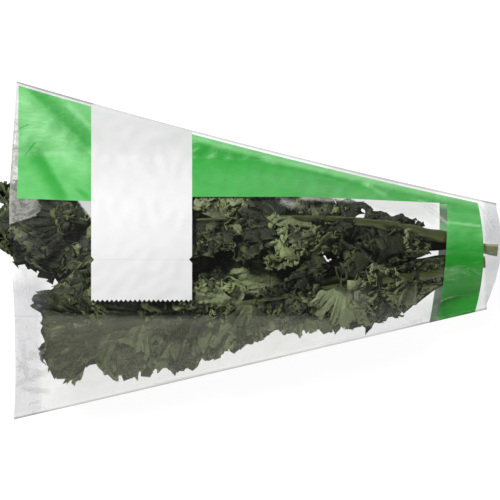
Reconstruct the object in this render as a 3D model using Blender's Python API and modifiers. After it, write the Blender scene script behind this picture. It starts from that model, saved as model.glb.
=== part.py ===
"""Bunch of curly kale lying in a tapered film sleeve that is open at both ends.

The stems leave the narrow neck at +X, the leaf tips fill the wide mouth at -X, and +Z is up from the
table. The origin is on the sleeve's flat underside. All sizes are in metres.
"""
import math
from collections import namedtuple

import bmesh
import bpy
import numpy as np

# Sleeve
MOUTH_X = -0.224
NECK_X = 0.226
MOUTH_HALF_WIDTH = 0.157
NECK_LOW = -0.052
NECK_HIGH = 0.0425
EDGE_BOW = 0.0045  # how far the upper edge is drawn in by the bulge
MOUTH_RIPPLE = 0.003
NECK_SLANT = 0.0075
FILM = 0.0006
SEAM = 0.005
SEAM_GAP = 0.0008  # between the two films where they part from the seam
TAIL_GAP = 0.0028  # between the two films where nothing lies between them
STATIONS = 14
ACROSS = 15

# Room inside the sleeve for the bunch, by position along X
BUNCH_LOW = ((-0.224, -0.126), (-0.168, -0.132), (-0.10, -0.119), (-0.03, -0.105), (0.05, -0.088),
             (0.13, -0.066), (0.17, -0.034), (0.22, -0.026))
BUNCH_HIGH = ((-0.224, 0.069), (-0.10, 0.067), (0.0, 0.065), (0.05, 0.058), (0.09, 0.047),
              (0.15, 0.030), (0.22, 0.022))
BULGE = ((-0.224, 0.076), (-0.15, 0.088), (-0.05, 0.092), (0.05, 0.082), (0.12, 0.056), (0.17, 0.030),
         (0.22, 0.023))
DRAPE = ((-0.224, 0.021), (0.10, 0.016), (0.22, 0.014))  # width over which the film falls to the seam
LOW_SEAM_Z = ((-0.224, 0.012), (0.0, 0.014), (0.22, 0.021))
HIGH_SEAM_Z = ((-0.224, 0.006), (0.0, 0.009), (0.22, 0.021))
FLAT_SHARE = 0.60  # share of the bulge's half width that lies flat on the table
TOP_CLEAR = 0.0024
BOTTOM_CLEAR = 0.0012

# Leaves
LAYERS = 5
LAYER_GAP = 0.0012
BLADE = 0.0007
BLADE_ROWS = 25
BLADE_COLUMNS = 8
STEM_HALF_WIDTH = 0.0053
STEM_HALF_HEIGHT = 0.0037
STEM_RINGS = 9
RIB_TIP_SHARE = 0.24  # size of the rib where it ends, as a share of the stem's
RIB_END = 0.86  # how far along the leaf the rib stands out of the blade
RIB_OFFSET = 0.35
LEAN = math.radians(34)  # the lobes point this far forward
WALL_SLANT = 0.007
WALL_SOFTNESS = 0.0025
SPLIT_LINE = ((-0.24, -0.024), (0.05, -0.014), (0.22, -0.002))  # between the two leaves of a layer
SPLIT_SHIFT = (-0.004, 0.011, -0.011, 0.010, -0.006)  # layer by layer, so that one layer's gap is covered by the next
NESTING = 0.22  # how strongly the layers wave together
CRIMP = 0.0030
TEETH = 0.09
WAVES_PER_LOBE = 1.0
CALM = 0.6  # how steep the waves may get on a narrow part of the blade
EASE = 0.15  # share of the blade over which its waves set in

LEAF_GREEN = (0.055, 0.085, 0.030, 1.0)
STEM_GREEN = (0.20, 0.26, 0.06, 1.0)
FILM_WHITE = (0.86, 0.87, 0.86, 1.0)

# cut: the stem's cut end; fan: heading of the leaf's far half; blade: where it starts along the leaf
Leaf = namedtuple("Leaf", "name layer high cut tip fan bow blade half_width lobes face phase")
LEAVES = (
    Leaf("leaf_01", 0, True, (0.196, 0.006), (-0.205, 0.022), 3, 0.008, 0.30, 0.070, 5.5, 1, 0.3),
    Leaf("leaf_02", 0, False, (0.201, -0.010), (-0.165, -0.084), -12, -0.008, 0.27, 0.066, 5.0, 1, 1.1),
    Leaf("leaf_03", 1, True, (0.203, 0.010), (-0.236, 0.042), -6, 0.008, 0.34, 0.066, 6.0, -1, 2.0),
    Leaf("leaf_04", 1, False, (0.198, -0.007), (-0.128, -0.092), -24, -0.012, 0.24, 0.070, 5.0, 1, 0.7),
    Leaf("leaf_05", 2, True, (0.199, 0.005), (-0.237, 0.022), 4, -0.002, 0.31, 0.070, 6.0, 1, 1.6),
    Leaf("leaf_06", 2, False, (0.212, -0.011), (-0.192, -0.110), -22, -0.010, 0.30, 0.070, 5.5, -1, 0.2),
    Leaf("leaf_07", 3, True, (0.202, 0.011), (-0.196, 0.030), 6, 0.006, 0.27, 0.068, 5.5, -1, 0.9),
    Leaf("leaf_08", 3, False, (0.197, -0.008), (-0.152, -0.070), -10, -0.016, 0.17, 0.072, 5.0, -1, 2.4),
    Leaf("leaf_09", 4, True, (0.223, -0.004), (-0.094, 0.026), -2, 0.042, 0.18, 0.068, 4.5, 1, 1.4),
    Leaf("leaf_10", 4, False, (0.200, -0.018), (-0.072, -0.056), -6, -0.008, 0.10, 0.064, 4.5, -1, 0.5),
)


def through(stops, x):
    """Smooth curve through the stops (position, value), level beyond the first and the last."""
    at = np.array([s[0] for s in stops])
    value = np.array([s[1] for s in stops])
    slope = np.gradient(value, at)
    x = np.clip(np.asarray(x, float), at[0], at[-1])
    i = np.clip(np.searchsorted(at, x, side="right") - 1, 0, len(at) - 2)
    step = at[i + 1] - at[i]
    t = (x - at[i]) / step
    return ((2 * t**3 - 3 * t**2 + 1) * value[i] + (t**3 - 2 * t**2 + t) * step * slope[i]
            + (3 * t**2 - 2 * t**3) * value[i + 1] + (t**3 - t**2) * step * slope[i + 1])


def ramp(x, start, end):
    """Eased rise from 0 at start to 1 at end."""
    t = np.clip((x - start) / (end - start), 0, 1)
    return t * t * (3 - 2 * t)


def edge_lines(x):
    """Y of the sleeve's lower and upper edge at x."""
    t = np.clip((x - MOUTH_X) / (NECK_X - MOUTH_X), 0, 1)
    low = -MOUTH_HALF_WIDTH + (NECK_LOW + MOUTH_HALF_WIDTH) * t
    high = MOUTH_HALF_WIDTH + (NECK_HIGH - MOUTH_HALF_WIDTH) * t
    return low, high - EDGE_BOW * 4 * t * (1 - t)


def bulge_share(x, y):
    """Distance from the bulge's middle line, 1 where the film meets the flat margin."""
    low, high, drape = through(BUNCH_LOW, x), through(BUNCH_HIGH, x), through(DRAPE, x)
    return np.abs(y - (low + high) / 2) / ((high - low) / 2 + drape)


def film_heights(x, y):
    """Inner heights of the film under and over the point (x, y)."""
    low, high = edge_lines(x)
    across = np.clip((y - low) / (high - low), 0, 1)
    middle = through(LOW_SEAM_Z, x) * (1 - across) + through(HIGH_SEAM_Z, x) * across
    from_seam = np.minimum(y - low, high - y) - SEAM
    half_gap = (SEAM_GAP + (TAIL_GAP - SEAM_GAP) * ramp(from_seam, 0, 0.03)) / 2
    away = bulge_share(x, y)
    dome = np.clip(1 - away**3, 0, 1) ** 1.5
    top = middle + half_gap + through(BULGE, x) * dome
    bottom = FILM + (middle - half_gap - FILM) * ramp(away, FLAT_SHARE, 1.0)
    return bottom, top


def sleeve_skins():
    """Points of the under and upper film, outer and inner, each an array of stations by points across by XYZ.
    The outer skins run on over the two welded seams."""
    t, s = np.meshgrid(np.linspace(0, 1, STATIONS + 1), np.linspace(0, 1, ACROSS - 1), indexing="ij")
    mouth = MOUTH_X + MOUTH_RIPPLE * np.sin(7.0 * s)
    neck = NECK_X - NECK_SLANT * (2 * s - 1.3) ** 2
    x = mouth + (neck - mouth) * t
    low, high = edge_lines(x)
    y = low + SEAM + (high - low - 2 * SEAM) * s
    bottom, top = film_heights(x, y)
    inner = [np.stack([x, y, z], -1) for z in (bottom, top)]
    outer = []
    for z, wall in ((bottom, -FILM), (top, FILM)):
        skin = np.stack([x, y, z + wall], -1)
        edges = []
        for column, limit in ((0, low), (-1, high)):
            weld = (bottom[:, column] + top[:, column]) / 2
            edges.append(np.stack([x[:, column], limit[:, column], weld + wall], -1)[:, None])
        outer.append(np.concatenate([edges[0], skin, edges[1]], axis=1))
    return outer, inner


def quads_of(index):
    """Four corners of each cell of a grid of vertex numbers."""
    cells = np.stack([index[:-1, :-1], index[:-1, 1:], index[1:, 1:], index[1:, :-1]], -1)
    return cells.reshape(-1, 4)


def build_sleeve(collection, material):
    """One closed shell: an outer and an inner tube joined by a rim round the mouth and round the neck."""
    outer, inner = sleeve_skins()
    points, grids = [], []
    for skin in (*outer, *inner):
        start = sum(len(p) for p in points)
        points.append(skin.reshape(-1, 3))
        grids.append(start + np.arange(skin.shape[0] * skin.shape[1]).reshape(skin.shape[:2]))
    under, over, under_in, over_in = grids
    faces = [quads_of(under), quads_of(over), quads_of(under_in), quads_of(over_in)]
    for column in (0, -1):
        faces.append(quads_of(np.stack([under[:, column], over[:, column]], 1)))
        faces.append(quads_of(np.stack([under_in[:, column], over_in[:, column]], 1)))
    for row in (0, -1):
        faces.append(quads_of(np.stack([under[row, 1:-1], under_in[row]], 1)))
        faces.append(quads_of(np.stack([over[row, 1:-1], over_in[row]], 1)))
        for edge, corner, inside in ((0, 1, 0), (-1, -2, -1)):
            faces.append(np.array([[under[row, edge], under[row, corner], under_in[row, inside],
                                    over_in[row, inside]]]))
            faces.append(np.array([[under[row, edge], over_in[row, inside], over[row, corner],
                                    over[row, edge]]]))
    mesh = bpy.data.meshes.new("sleeve")
    mesh.from_pydata(np.concatenate(points).tolist(), [], np.concatenate(faces).tolist())
    shape = bmesh.new()
    shape.from_mesh(mesh)
    bmesh.ops.triangulate(shape, faces=shape.faces, quad_method="FIXED")
    bmesh.ops.recalc_face_normals(shape, faces=shape.faces)
    shape.to_mesh(mesh)
    shape.free()
    mesh.materials.append(material)
    sleeve = bpy.data.objects.new("sleeve", mesh)
    collection.objects.link(sleeve)
    return sleeve


def layer_weights(x):
    """Share of the height that each layer takes at x: the top leaves are short, so their layer thins out."""
    short = 0.08 + 1.12 * ramp(x, -0.135, -0.060)
    neck = ramp(x, 0.14, 0.19)
    lower = 1.0 - 0.22 * ramp(x, 0.0, 0.10) * (1 - neck)
    weights = [0.92 * lower + 0.08 * neck, lower, lower, np.ones_like(x), short + (1 - short) * neck]
    return np.stack(weights) / np.sum(weights, axis=0)


def layer_room(layer, x, y):
    """Middle height and half height of the room that a layer has at (x, y)."""
    bottom, top = film_heights(x, y)
    bottom, top = bottom + BOTTOM_CLEAR, top - TOP_CLEAR
    weights = layer_weights(x)
    wave = NESTING * (1 - ramp(x, 0.05, 0.14)) * np.sin(66 * x + 21 * y + 0.6) * np.sin(58 * y - 17 * x + 0.9)

    def border(number):
        share = np.sum(weights[:number], axis=0)
        return bottom + (top - bottom) * (share + wave * share * (1 - share))

    low, high = border(layer), border(layer + 1)
    return (low + high) / 2, np.maximum((high - low) / 2 - LAYER_GAP, 0.0003)


def split_line(layer, x, level):
    """Y of the wall between a layer's two leaves at a level from -1 to 1 within the layer."""
    spread = 1 - ramp(x, 0.08, 0.16)
    ripple = 0.003 * np.sin(70 * x + 2.1 * layer)
    apart = SPLIT_SHIFT[layer] * (1 - ramp(x, 0.0, 0.08))
    return through(SPLIT_LINE, x) + apart + spread * (ripple + WALL_SLANT * (-1) ** layer * level)


def soft_rise(x):
    """Zero well below 0 and x well above it, rounded off between them."""
    return WALL_SOFTNESS * np.logaddexp(0, x / WALL_SOFTNESS)


def confined(leaf, x, y, lift):
    """The point (x, y) raised by lift half heights, kept in the leaf's own room."""
    level = np.tanh(lift)
    wall = split_line(leaf.layer, x, level)
    low, high = through(BUNCH_LOW, x), through(BUNCH_HIGH, x)
    if leaf.high:
        low = wall + LAYER_GAP
    else:
        high = wall - LAYER_GAP
    y = low + soft_rise(y - low)
    y = high - soft_rise(high - y)
    middle, half = layer_room(leaf.layer, x, y)
    return x, y, middle + half * level


def leaf_line(leaf, t):
    """Plan position and heading along the leaf, 0 at the stem's cut end and 1 at the tip: a cubic curve."""
    start, end = np.array(leaf.cut), np.array(leaf.tip)
    reach = np.linalg.norm(end - start)
    heading = math.radians(leaf.fan)
    far = end + 0.36 * reach * np.array([math.cos(heading), -math.sin(heading)])
    near = start + np.array([-0.36 * reach, leaf.bow])
    t = np.asarray(t, float)[..., None]
    point = (1 - t) ** 3 * start + 3 * (1 - t) ** 2 * t * near + 3 * (1 - t) * t**2 * far + t**3 * end
    along = (1 - t) ** 2 * (near - start) + 2 * (1 - t) * t * (far - near) + t**2 * (end - far)
    return point, along / np.linalg.norm(along, axis=-1, keepdims=True)


def reach_of(leaf, u, side, point, outward):
    """How far the blade goes out from the rib: lobed, rounded at the tip and held to the leaf's room."""
    swell = (0.16 + 0.84 * ramp(u, 0.0, 0.36)) * np.sqrt(np.clip(1.04 - u**3, 0.02, 1))
    lobe = np.cos(2 * math.pi * (leaf.lobes * u + 0.13 * side + leaf.phase))
    cut = 0.44 - 0.20 * u
    wanted = leaf.half_width * swell * (1 - cut * np.clip(0.5 - 0.75 * lobe, 0, 1))
    x = point[..., 0]
    if (side > 0) == leaf.high:
        limit = through(BUNCH_HIGH if leaf.high else BUNCH_LOW, x)
    else:
        limit = split_line(leaf.layer, x, 0.5 * (-1) ** (leaf.layer + leaf.high + 1))
    clear = np.maximum((point[..., 1] - limit) * (-1 if side > 0 else 1), 0.0)
    room = np.maximum(clear / np.maximum(np.abs(outward[..., 1]), 0.5), 0.002)
    return (wanted**-8 + room**-8) ** -0.125


def blade_surface(leaf, u, v, tooth):
    """Plan position and lift of the blade for u from the blade's start to the tip and v from -1 to 1 across:
    lobes that lean forward from the rib, thrown into waves that grow towards the toothed margin."""
    point, heading = leaf_line(leaf, leaf.blade + (1 - leaf.blade) * u)
    side = np.where(v < 0, -1.0, 1.0)
    normal = np.stack([heading[..., 1], -heading[..., 0]], -1)
    outward = normal * side[..., None] * math.cos(LEAN) + heading * math.sin(LEAN)
    reach = np.where(v < 0, reach_of(leaf, u, -1, point, outward), reach_of(leaf, u, 1, point, outward))
    out = np.abs(v)
    plan = point + outward * (out * reach * (1 + TEETH * tooth))[..., None]
    turn = 2 * math.pi * (WAVES_PER_LOBE * leaf.lobes * u + 0.31 * side + leaf.phase)
    wave = out**1.3 * np.sin(turn + 1.2 * out) + 0.4 * leaf.face * (out**2 - 0.25)
    _, half = layer_room(leaf.layer, plan[..., 0], plan[..., 1])
    held = np.minimum(1.0, CALM * reach / half) * ramp(u, 0.0, EASE)  # a narrow blade waves less
    return plan, held * wave + CRIMP * tooth * reach / leaf.half_width / half


def build_blade(leaf):
    """The leaf's blade as one closed waved sheet, its margin cut into teeth that stand up and down."""
    shape = bmesh.new()
    bmesh.ops.create_grid(shape, x_segments=BLADE_ROWS, y_segments=BLADE_COLUMNS, size=1.0)
    bmesh.ops.triangulate(shape, faces=shape.faces, quad_method="ALTERNATE")
    flat = np.array([vertex.co for vertex in shape.verts])
    u, v = (flat[:, 0] + 1) / 2, flat[:, 1]
    margin = np.abs(v) > 0.99
    tooth = margin * np.where(np.rint(u * BLADE_ROWS) % 2, 1.0, -1.0)
    plan, lift = blade_surface(leaf, u, v, tooth)
    x, y, z = confined(leaf, plan[:, 0], plan[:, 1], lift)
    for vertex, co in zip(shape.verts, np.stack([x, y, z], -1)):
        vertex.co = co
    mesh = bpy.data.meshes.new(leaf.name)
    shape.to_mesh(mesh)
    shape.free()
    blade = bpy.data.objects.new(leaf.name, mesh)
    wall = blade.modifiers.new("Thickness", "SOLIDIFY")
    wall.thickness = BLADE
    wall.offset = 0.0
    return blade


def stem_profile():
    """Section of a kale stem, one unit to each side: round below and slightly channelled above."""
    outline = ((0.75, -0.6), (0.0, -1.0), (-0.75, -0.6), (-1.0, 0.2), (-0.6, 0.7), (0.0, 0.55), (0.6, 0.7),
               (1.0, 0.2))
    curve = bpy.data.curves.new("stem_profile", "CURVE")
    curve.dimensions = "2D"
    spline = curve.splines.new("POLY")
    spline.points.add(len(outline) - 1)
    for corner, (across, up) in zip(spline.points, outline):
        corner.co = (across * STEM_HALF_WIDTH, up * STEM_HALF_HEIGHT, 0, 1)
    spline.use_cyclic_u = True
    profile = bpy.data.objects.new("stem_profile", curve)
    bpy.context.scene.collection.objects.link(profile)
    profile.hide_render = True
    return profile


def build_stem(leaf, profile):
    """The stem and the rib it runs on into, as one tapered bar from the cut end towards the tip."""
    t = np.linspace(0, leaf.blade + (1 - leaf.blade) * RIB_END, STEM_RINGS)
    size = 1 - (1 - RIB_TIP_SHARE) * ramp(t, 0.05, 1.0) ** 0.8
    point, _ = leaf_line(leaf, t)
    level = -0.113 * leaf.face * ramp(t, leaf.blade * 0.5, leaf.blade)
    x, y, z = confined(leaf, point[:, 0], point[:, 1], level)
    z = z - RIB_OFFSET * leaf.face * size * STEM_HALF_HEIGHT * ramp(t, leaf.blade * 0.5, leaf.blade)
    curve = bpy.data.curves.new(leaf.name + "_stem", "CURVE")
    curve.dimensions = "3D"
    curve.twist_mode = "Z_UP"
    spline = curve.splines.new("POLY")
    spline.points.add(STEM_RINGS - 1)
    for knot, co, radius in zip(spline.points, np.stack([x, y, z], -1), size):
        knot.co = (*co, 1)
        knot.radius = radius
    curve.bevel_mode = "OBJECT"
    curve.bevel_object = profile
    curve.use_fill_caps = True
    bar = bpy.data.objects.new(leaf.name + "_stem", curve)
    bpy.context.scene.collection.objects.link(bar)
    return bar


def as_mesh(source, name):
    """The evaluated object as a welded mesh object, in place of the source."""
    graph = bpy.context.evaluated_depsgraph_get()
    mesh = bpy.data.meshes.new_from_object(source.evaluated_get(graph))
    shape = bmesh.new()
    shape.from_mesh(mesh)
    bmesh.ops.remove_doubles(shape, verts=shape.verts, dist=1e-6)
    bmesh.ops.recalc_face_normals(shape, faces=shape.faces)
    shape.to_mesh(mesh)
    shape.free()
    made = bpy.data.objects.new(name, mesh)
    made.matrix_world = source.matrix_world
    bpy.data.objects.remove(source)
    bpy.context.scene.collection.objects.link(made)
    return made


def build_leaf(leaf, profile, collection, blade_material, stem_material):
    """One leafy stem: the blade joined to its stem and rib."""
    stem = as_mesh(build_stem(leaf, profile), leaf.name + "_stem")
    blade = build_blade(leaf)
    collection.objects.link(blade)
    blade.data.materials.append(blade_material)
    stem.data.materials.clear()
    stem.data.materials.append(stem_material)
    join = blade.modifiers.new("Stem", "BOOLEAN")
    join.operation = "UNION"
    join.object = stem
    join.material_mode = "TRANSFER"
    graph = bpy.context.evaluated_depsgraph_get()
    mesh = bpy.data.meshes.new_from_object(blade.evaluated_get(graph))
    blade.modifiers.clear()
    blade.data = mesh
    mesh.name = leaf.name
    mesh.shade_smooth()
    mesh.set_sharp_from_angle(angle=math.radians(50))
    bpy.data.objects.remove(stem)


def finish(name, colour, roughness, alpha=1.0):
    """A plain material with the part's colour."""
    material = bpy.data.materials.new(name)
    material.use_nodes = True
    shader = material.node_tree.nodes["Principled BSDF"]
    shader.inputs["Base Color"].default_value = colour
    shader.inputs["Roughness"].default_value = roughness
    shader.inputs["Metallic"].default_value = 0.0
    shader.inputs["Alpha"].default_value = alpha
    return material


def main():
    for old in list(bpy.data.objects):
        bpy.data.objects.remove(old)
    bunch = bpy.data.collections.new("kale_bunch")
    bpy.context.scene.collection.children.link(bunch)
    build_sleeve(bunch, finish("film", FILM_WHITE, 0.2, alpha=0.25))
    blade_material = finish("kale_blade", LEAF_GREEN, 0.6)
    stem_material = finish("kale_stem", STEM_GREEN, 0.5)
    profile = stem_profile()
    for leaf in LEAVES:
        build_leaf(leaf, profile, bunch, blade_material, stem_material)
    bpy.data.objects.remove(profile)


if __name__ == "__main__":
    main()
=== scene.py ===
"""Bunch of curly kale lying in a tapered, printed film sleeve.

The leaves, their stems and the film are surfaces worked out with numpy on the same lines as the
solids of the frame: +X runs out of the sleeve's narrow neck, +Z is up from the table, in metres.
"""

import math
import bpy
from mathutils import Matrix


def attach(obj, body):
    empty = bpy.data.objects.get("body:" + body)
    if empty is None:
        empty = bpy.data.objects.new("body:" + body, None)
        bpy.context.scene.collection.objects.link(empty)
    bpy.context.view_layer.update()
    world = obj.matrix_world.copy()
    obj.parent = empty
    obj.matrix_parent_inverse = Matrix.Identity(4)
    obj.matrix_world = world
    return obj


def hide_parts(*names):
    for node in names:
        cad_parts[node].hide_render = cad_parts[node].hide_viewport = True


bl_info = {
    "name": "Kale Bunch",
    "version": (1, 0, 0),
    "blender": (4, 5, 0),
    "location": "3D View > Sidebar > Kale",
    "description": "Curly kale on its stems in a tapered film sleeve, with a studio round it",
    "category": "Add Mesh",
}

from collections import namedtuple

import bpy
import numpy as np
from bpy.props import FloatProperty, FloatVectorProperty, IntProperty, PointerProperty
from mathutils import Vector

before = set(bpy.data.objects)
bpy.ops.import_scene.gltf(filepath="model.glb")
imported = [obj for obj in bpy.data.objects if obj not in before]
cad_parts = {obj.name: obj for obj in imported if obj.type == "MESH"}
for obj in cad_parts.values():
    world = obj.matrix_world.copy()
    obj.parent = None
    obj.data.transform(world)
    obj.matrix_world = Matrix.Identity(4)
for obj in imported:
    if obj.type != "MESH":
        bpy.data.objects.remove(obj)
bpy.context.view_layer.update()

# Camera: its place over the bunch, and the height at which the print has its true size
CAMERA_X = -0.0056
CAMERA_HEIGHT = 7.0
PRINT_HEIGHT = 0.03
PRINT_DISTANCE = CAMERA_HEIGHT - PRINT_HEIGHT
SENSOR_WIDTH = 36.0

# Sleeve, as in the solids
MOUTH_X = -0.224
NECK_X = 0.226
MOUTH_HALF_WIDTH = 0.157
NECK_LOW = -0.052
NECK_HIGH = 0.0425
EDGE_BOW = 0.0045
MOUTH_RIPPLE = 0.003
NECK_SLANT = 0.0075
FLOOR_FILM = 0.0006
SEAM = 0.005
SEAM_GAP = 0.0008
TAIL_GAP = 0.0028

# Room inside the sleeve, by position along X: the bunch's outline, the height of the bulge, the
# width over which the film falls to the seams, and the height of the seams
BUNCH_LOW = ((-0.224, -0.126), (-0.168, -0.132), (-0.10, -0.119), (-0.03, -0.105), (0.05, -0.088),
             (0.13, -0.066), (0.17, -0.034), (0.22, -0.026))
BUNCH_HIGH = ((-0.224, 0.069), (-0.10, 0.067), (0.0, 0.065), (0.05, 0.058), (0.09, 0.047),
              (0.15, 0.030), (0.22, 0.022))
BULGE = ((-0.224, 0.076), (-0.15, 0.088), (-0.05, 0.092), (0.05, 0.082), (0.12, 0.056),
         (0.17, 0.030), (0.22, 0.023))
DRAPE = ((-0.224, 0.021), (0.10, 0.016), (0.22, 0.014))
LOW_SEAM_Z = ((-0.224, 0.012), (0.0, 0.014), (0.22, 0.021))
HIGH_SEAM_Z = ((-0.224, 0.006), (0.0, 0.009), (0.22, 0.021))
FLAT_SHARE = 0.60
TOP_CLEAR = 0.0024
BOTTOM_CLEAR = 0.0012

# Leaves
LAYER_GAP = 0.0008
STEM_HALF_WIDTH = 0.0053
STEM_HALF_HEIGHT = 0.0037
RIB_TIP_SHARE = 0.24  # size of the rib where it ends, as a share of the stem's
RIB_END = 0.86  # how far along the blade the rib stands out of it
RIB_OFFSET = 0.35  # how far the rib's middle stands off the blade, in half heights of the rib
RIB_LIFT = 0.113  # how far the rib stands over or under the middle of its layer
WALL_SLANT = 0.007
WALL_SOFTNESS = 0.0025
# Y of the wall between the two leaves of a layer, by position along X, and its shift in each layer
SPLIT_LINE = ((-0.24, -0.024), (0.05, -0.014), (0.22, -0.002))
SPLIT_SHIFT = (-0.004, 0.011, -0.011, 0.010, -0.006)
NESTING = 0.22  # how strongly the layers wave together
# How far towards the mouth the leaves reach, as X by position along Y
TIP_LINE = ((-0.140, -0.174), (-0.115, -0.184), (-0.088, -0.188), (-0.074, -0.184), (-0.056, -0.192),
            (-0.037, -0.204), (-0.009, -0.222), (0.020, -0.236))
TIP_SOFTNESS = 0.009
# How much of the free room the hanging lobes take, by position along X
HANGING = ((-0.200, 1.0), (-0.170, 1.2), (-0.150, 0.65), (-0.13, 0.85), (-0.11, 1.3), (-0.08, 1.3),
           (-0.03, 1.0), (-0.012, 0.75), (0.005, 0.50), (0.030, 0.42), (0.045, 0.65), (0.062, 1.05))
# How far the bunch's lower outline draws back from its room, by position along X, and the
# scallops of both outlines, each: height, radians per metre
DRAWN_BACK = ((-0.200, 0.0), (-0.168, 0.0), (-0.153, 0.025), (-0.140, 0.008), (-0.12, 0.0),
              (-0.03, 0.001), (0.0, 0.010), (0.028, 0.015), (0.044, 0.003), (0.055, 0.0))
SCALLOPS = ((0.0030, 150.0), (0.0026, 390.0), (0.0012, 900.0))
# Lobes that fill gaps: place along the blade, side, lean in degrees, length
MORE_LOBES = {
    "leaf_01": ((0.84, -1, 34, 0.056), (0.93, -1, 30, 0.044)),
    "leaf_02": ((0.80, 1, 30, 0.046), (0.92, 1, 62, 0.040)),
    "leaf_03": ((0.86, 1, 50, 0.046), (0.93, 1, 60, 0.036)),
    "leaf_04": ((0.80, 1, 60, 0.070), (0.86, 1, 55, 0.052), (0.93, 1, 48, 0.088)),
    "leaf_05": ((0.70, -1, 30, 0.054), (0.80, -1, 38, 0.050), (0.88, 1, 50, 0.046)),
    "leaf_06": ((0.62, 1, 35, 0.062), (0.74, 1, 48, 0.080), (0.80, 1, 25, 0.066),
                (0.86, 1, 40, 0.060), (0.93, 1, 62, 0.034), (0.88, -1, 6, 0.036)),
    "leaf_08": ((0.00, -1, -28, 0.034), (0.02, 1, -20, 0.028), (0.78, 1, 58, 0.078),
                (0.84, 1, 40, 0.074), (0.90, 1, 62, 0.066), (0.95, 1, 50, 0.078),
                (0.96, 1, 74, 0.040)),
    "leaf_10": ((0.00, 1, 10, 0.022), (0.02, -1, -32, 0.026), (0.03, 1, -34, 0.018),
                (0.05, -1, -10, 0.034), (0.09, -1, 22, 0.038), (0.12, 1, 0, 0.026)),
}

# A leaf: its layer from below and its side of the bunch, the stem's cut end and the blade's tip in
# plan, the heading of its far half in degrees, the sideways bow, where along it the blade starts,
# the blade's half width and lobes, 1 where the rib is below and -1 where it is above, the lobes'
# phase, the pairs of lobes, the grid of each lobe, and how many tufts a lobe has
Leaf = namedtuple("Leaf", "name layer high cut tip fan bow blade half_width lobes face phase "
                          "pairs grid tufts")
# A lobe: where it grows out and its direction in plan, its length and half angle, the shares of
# its length by which it rises, bows, rolls to one side and folds, how far its end curls and how
# that sways round the margin, its phase, its tone from dark to light, its height over the middle
# of its layer, and the share of the full frills that it has
Lobe = namedtuple("Lobe", "point axis length spread rise bow roll fold curl sway phase tone lift "
                          "frill")
LEAVES = (
    Leaf("leaf_01", 0, True, (0.196, 0.006), (-0.205, 0.022), 3, 0.008, 0.30, 0.070, 5.5, 1, 0.3,
         7, (8, 48), 0),
    Leaf("leaf_02", 0, False, (0.201, -0.010), (-0.165, -0.084), -12, -0.008, 0.27, 0.066, 5.0, 1,
         1.1, 7, (8, 48), 0),
    Leaf("leaf_03", 1, True, (0.203, 0.010), (-0.236, 0.042), -6, 0.008, 0.34, 0.066, 6.0, -1, 2.0,
         7, (9, 56), 1),
    Leaf("leaf_04", 1, False, (0.198, -0.007), (-0.128, -0.092), -24, -0.012, 0.24, 0.070, 5.0, 1,
         0.7, 7, (9, 56), 0),
    Leaf("leaf_05", 2, True, (0.199, 0.005), (-0.237, 0.022), 4, -0.002, 0.31, 0.070, 6.0, 1, 1.6,
         7, (11, 66), 1),
    Leaf("leaf_06", 2, False, (0.212, -0.011), (-0.192, -0.110), -22, -0.010, 0.30, 0.070, 5.5, -1,
         0.2, 7, (11, 66), 1),
    Leaf("leaf_07", 3, True, (0.202, 0.011), (-0.196, 0.030), 6, 0.006, 0.27, 0.068, 5.5, -1, 0.9,
         8, (12, 92), 3),
    Leaf("leaf_08", 3, False, (0.197, -0.008), (-0.152, -0.070), -10, -0.016, 0.17, 0.072, 5.0, -1,
         2.4, 8, (12, 92), 3),
    Leaf("leaf_09", 4, True, (0.223, -0.004), (-0.094, 0.026), -2, 0.042, 0.18, 0.068, 4.5, -1, 1.4,
         8, (12, 92), 3),
    Leaf("leaf_10", 4, False, (0.200, -0.018), (-0.072, -0.056), -6, -0.008, 0.10, 0.064, 4.5, -1,
         0.5, 8, (12, 92), 3),
)
# Lobes: their width at the rib, where along the blade the pairs start and how far they run, and
# the ranges that their shapes are drawn from (degrees for lean and spread)
LOBE_SEED = 500
TUFT_SEED = 900
LOBE_BASE = 0.006
FIRST_PAIR = 0.01
PAIRS_RUN = 0.89
END_LOBE = 0.90
END_LENGTH = 0.80
LOBE_LEAN = (-12, 64)
OUTER_REACH = (0.70, 1.08)
INNER_REACH = (0.85, 1.20)
LOBE_RANGES = {"spread": (46, 76), "rise": (-0.30, 0.42), "bow": (-0.40, 0.30),
               "roll": (-0.55, 0.55), "fold": (-0.45, 0.45)}
LOBE_SWAY = (-1.0, 1.0)
SOFT_CURL = (-1.0, 0.7)
SOFT_SHARE = 0.6  # share of the inner lobes that curl softly
FULL_CURL = (0.4, 2.3)
BEND_START = 0.46  # share of a lobe's length past which its end bends
HERO_DIP = 0.30  # how much lower the first lobes of leaf_09 run, so that its rib shows
HANG_FROM = 0.050  # how far down in Y a lobe's tip starts to hang, and where it hangs fully
HANG_FULL = 0.072
HANG_PALER = 0.62
HANG_CALMER = 0.35
TUFT_GRID = (7, 34)
TUFT_TURN = 0.9
TUFT_RANGES = {"length": (0.008, 0.018), "spread": (60, 115), "rise": (-0.2, 0.9),
               "bow": (-0.6, 0.4), "roll": (-0.7, 0.7), "fold": (-0.6, 0.6), "curl": (-1.5, 2.6),
               "sway": (-1.4, 1.4)}
TUFT_PALER = (-0.15, 0.5)
FULL_TURN = 6.28  # radians within which a phase is drawn
VEIN_RIDGE = 0.0005
STEM_SIDES = 20
# Frills, each: pitch along the margin, height, sideways fold, where it sets in
RUFFLES = ((0.023, 0.0074, 0.0042, 0.24), (0.0105, 0.0052, 0.0030, 0.36),
           (0.0050, 0.0026, 0.0015, 0.52))
TOOTH = 0.0046  # pitch of the margin's small round teeth

MOST_DENT = 0.0008  # how far at most the film dips towards the leaves
PLEATS = 7
PLEAT_DRIFT = 9
MOUTH_WAVES = 5
DIAGONAL_PITCH = 0.042
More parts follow.
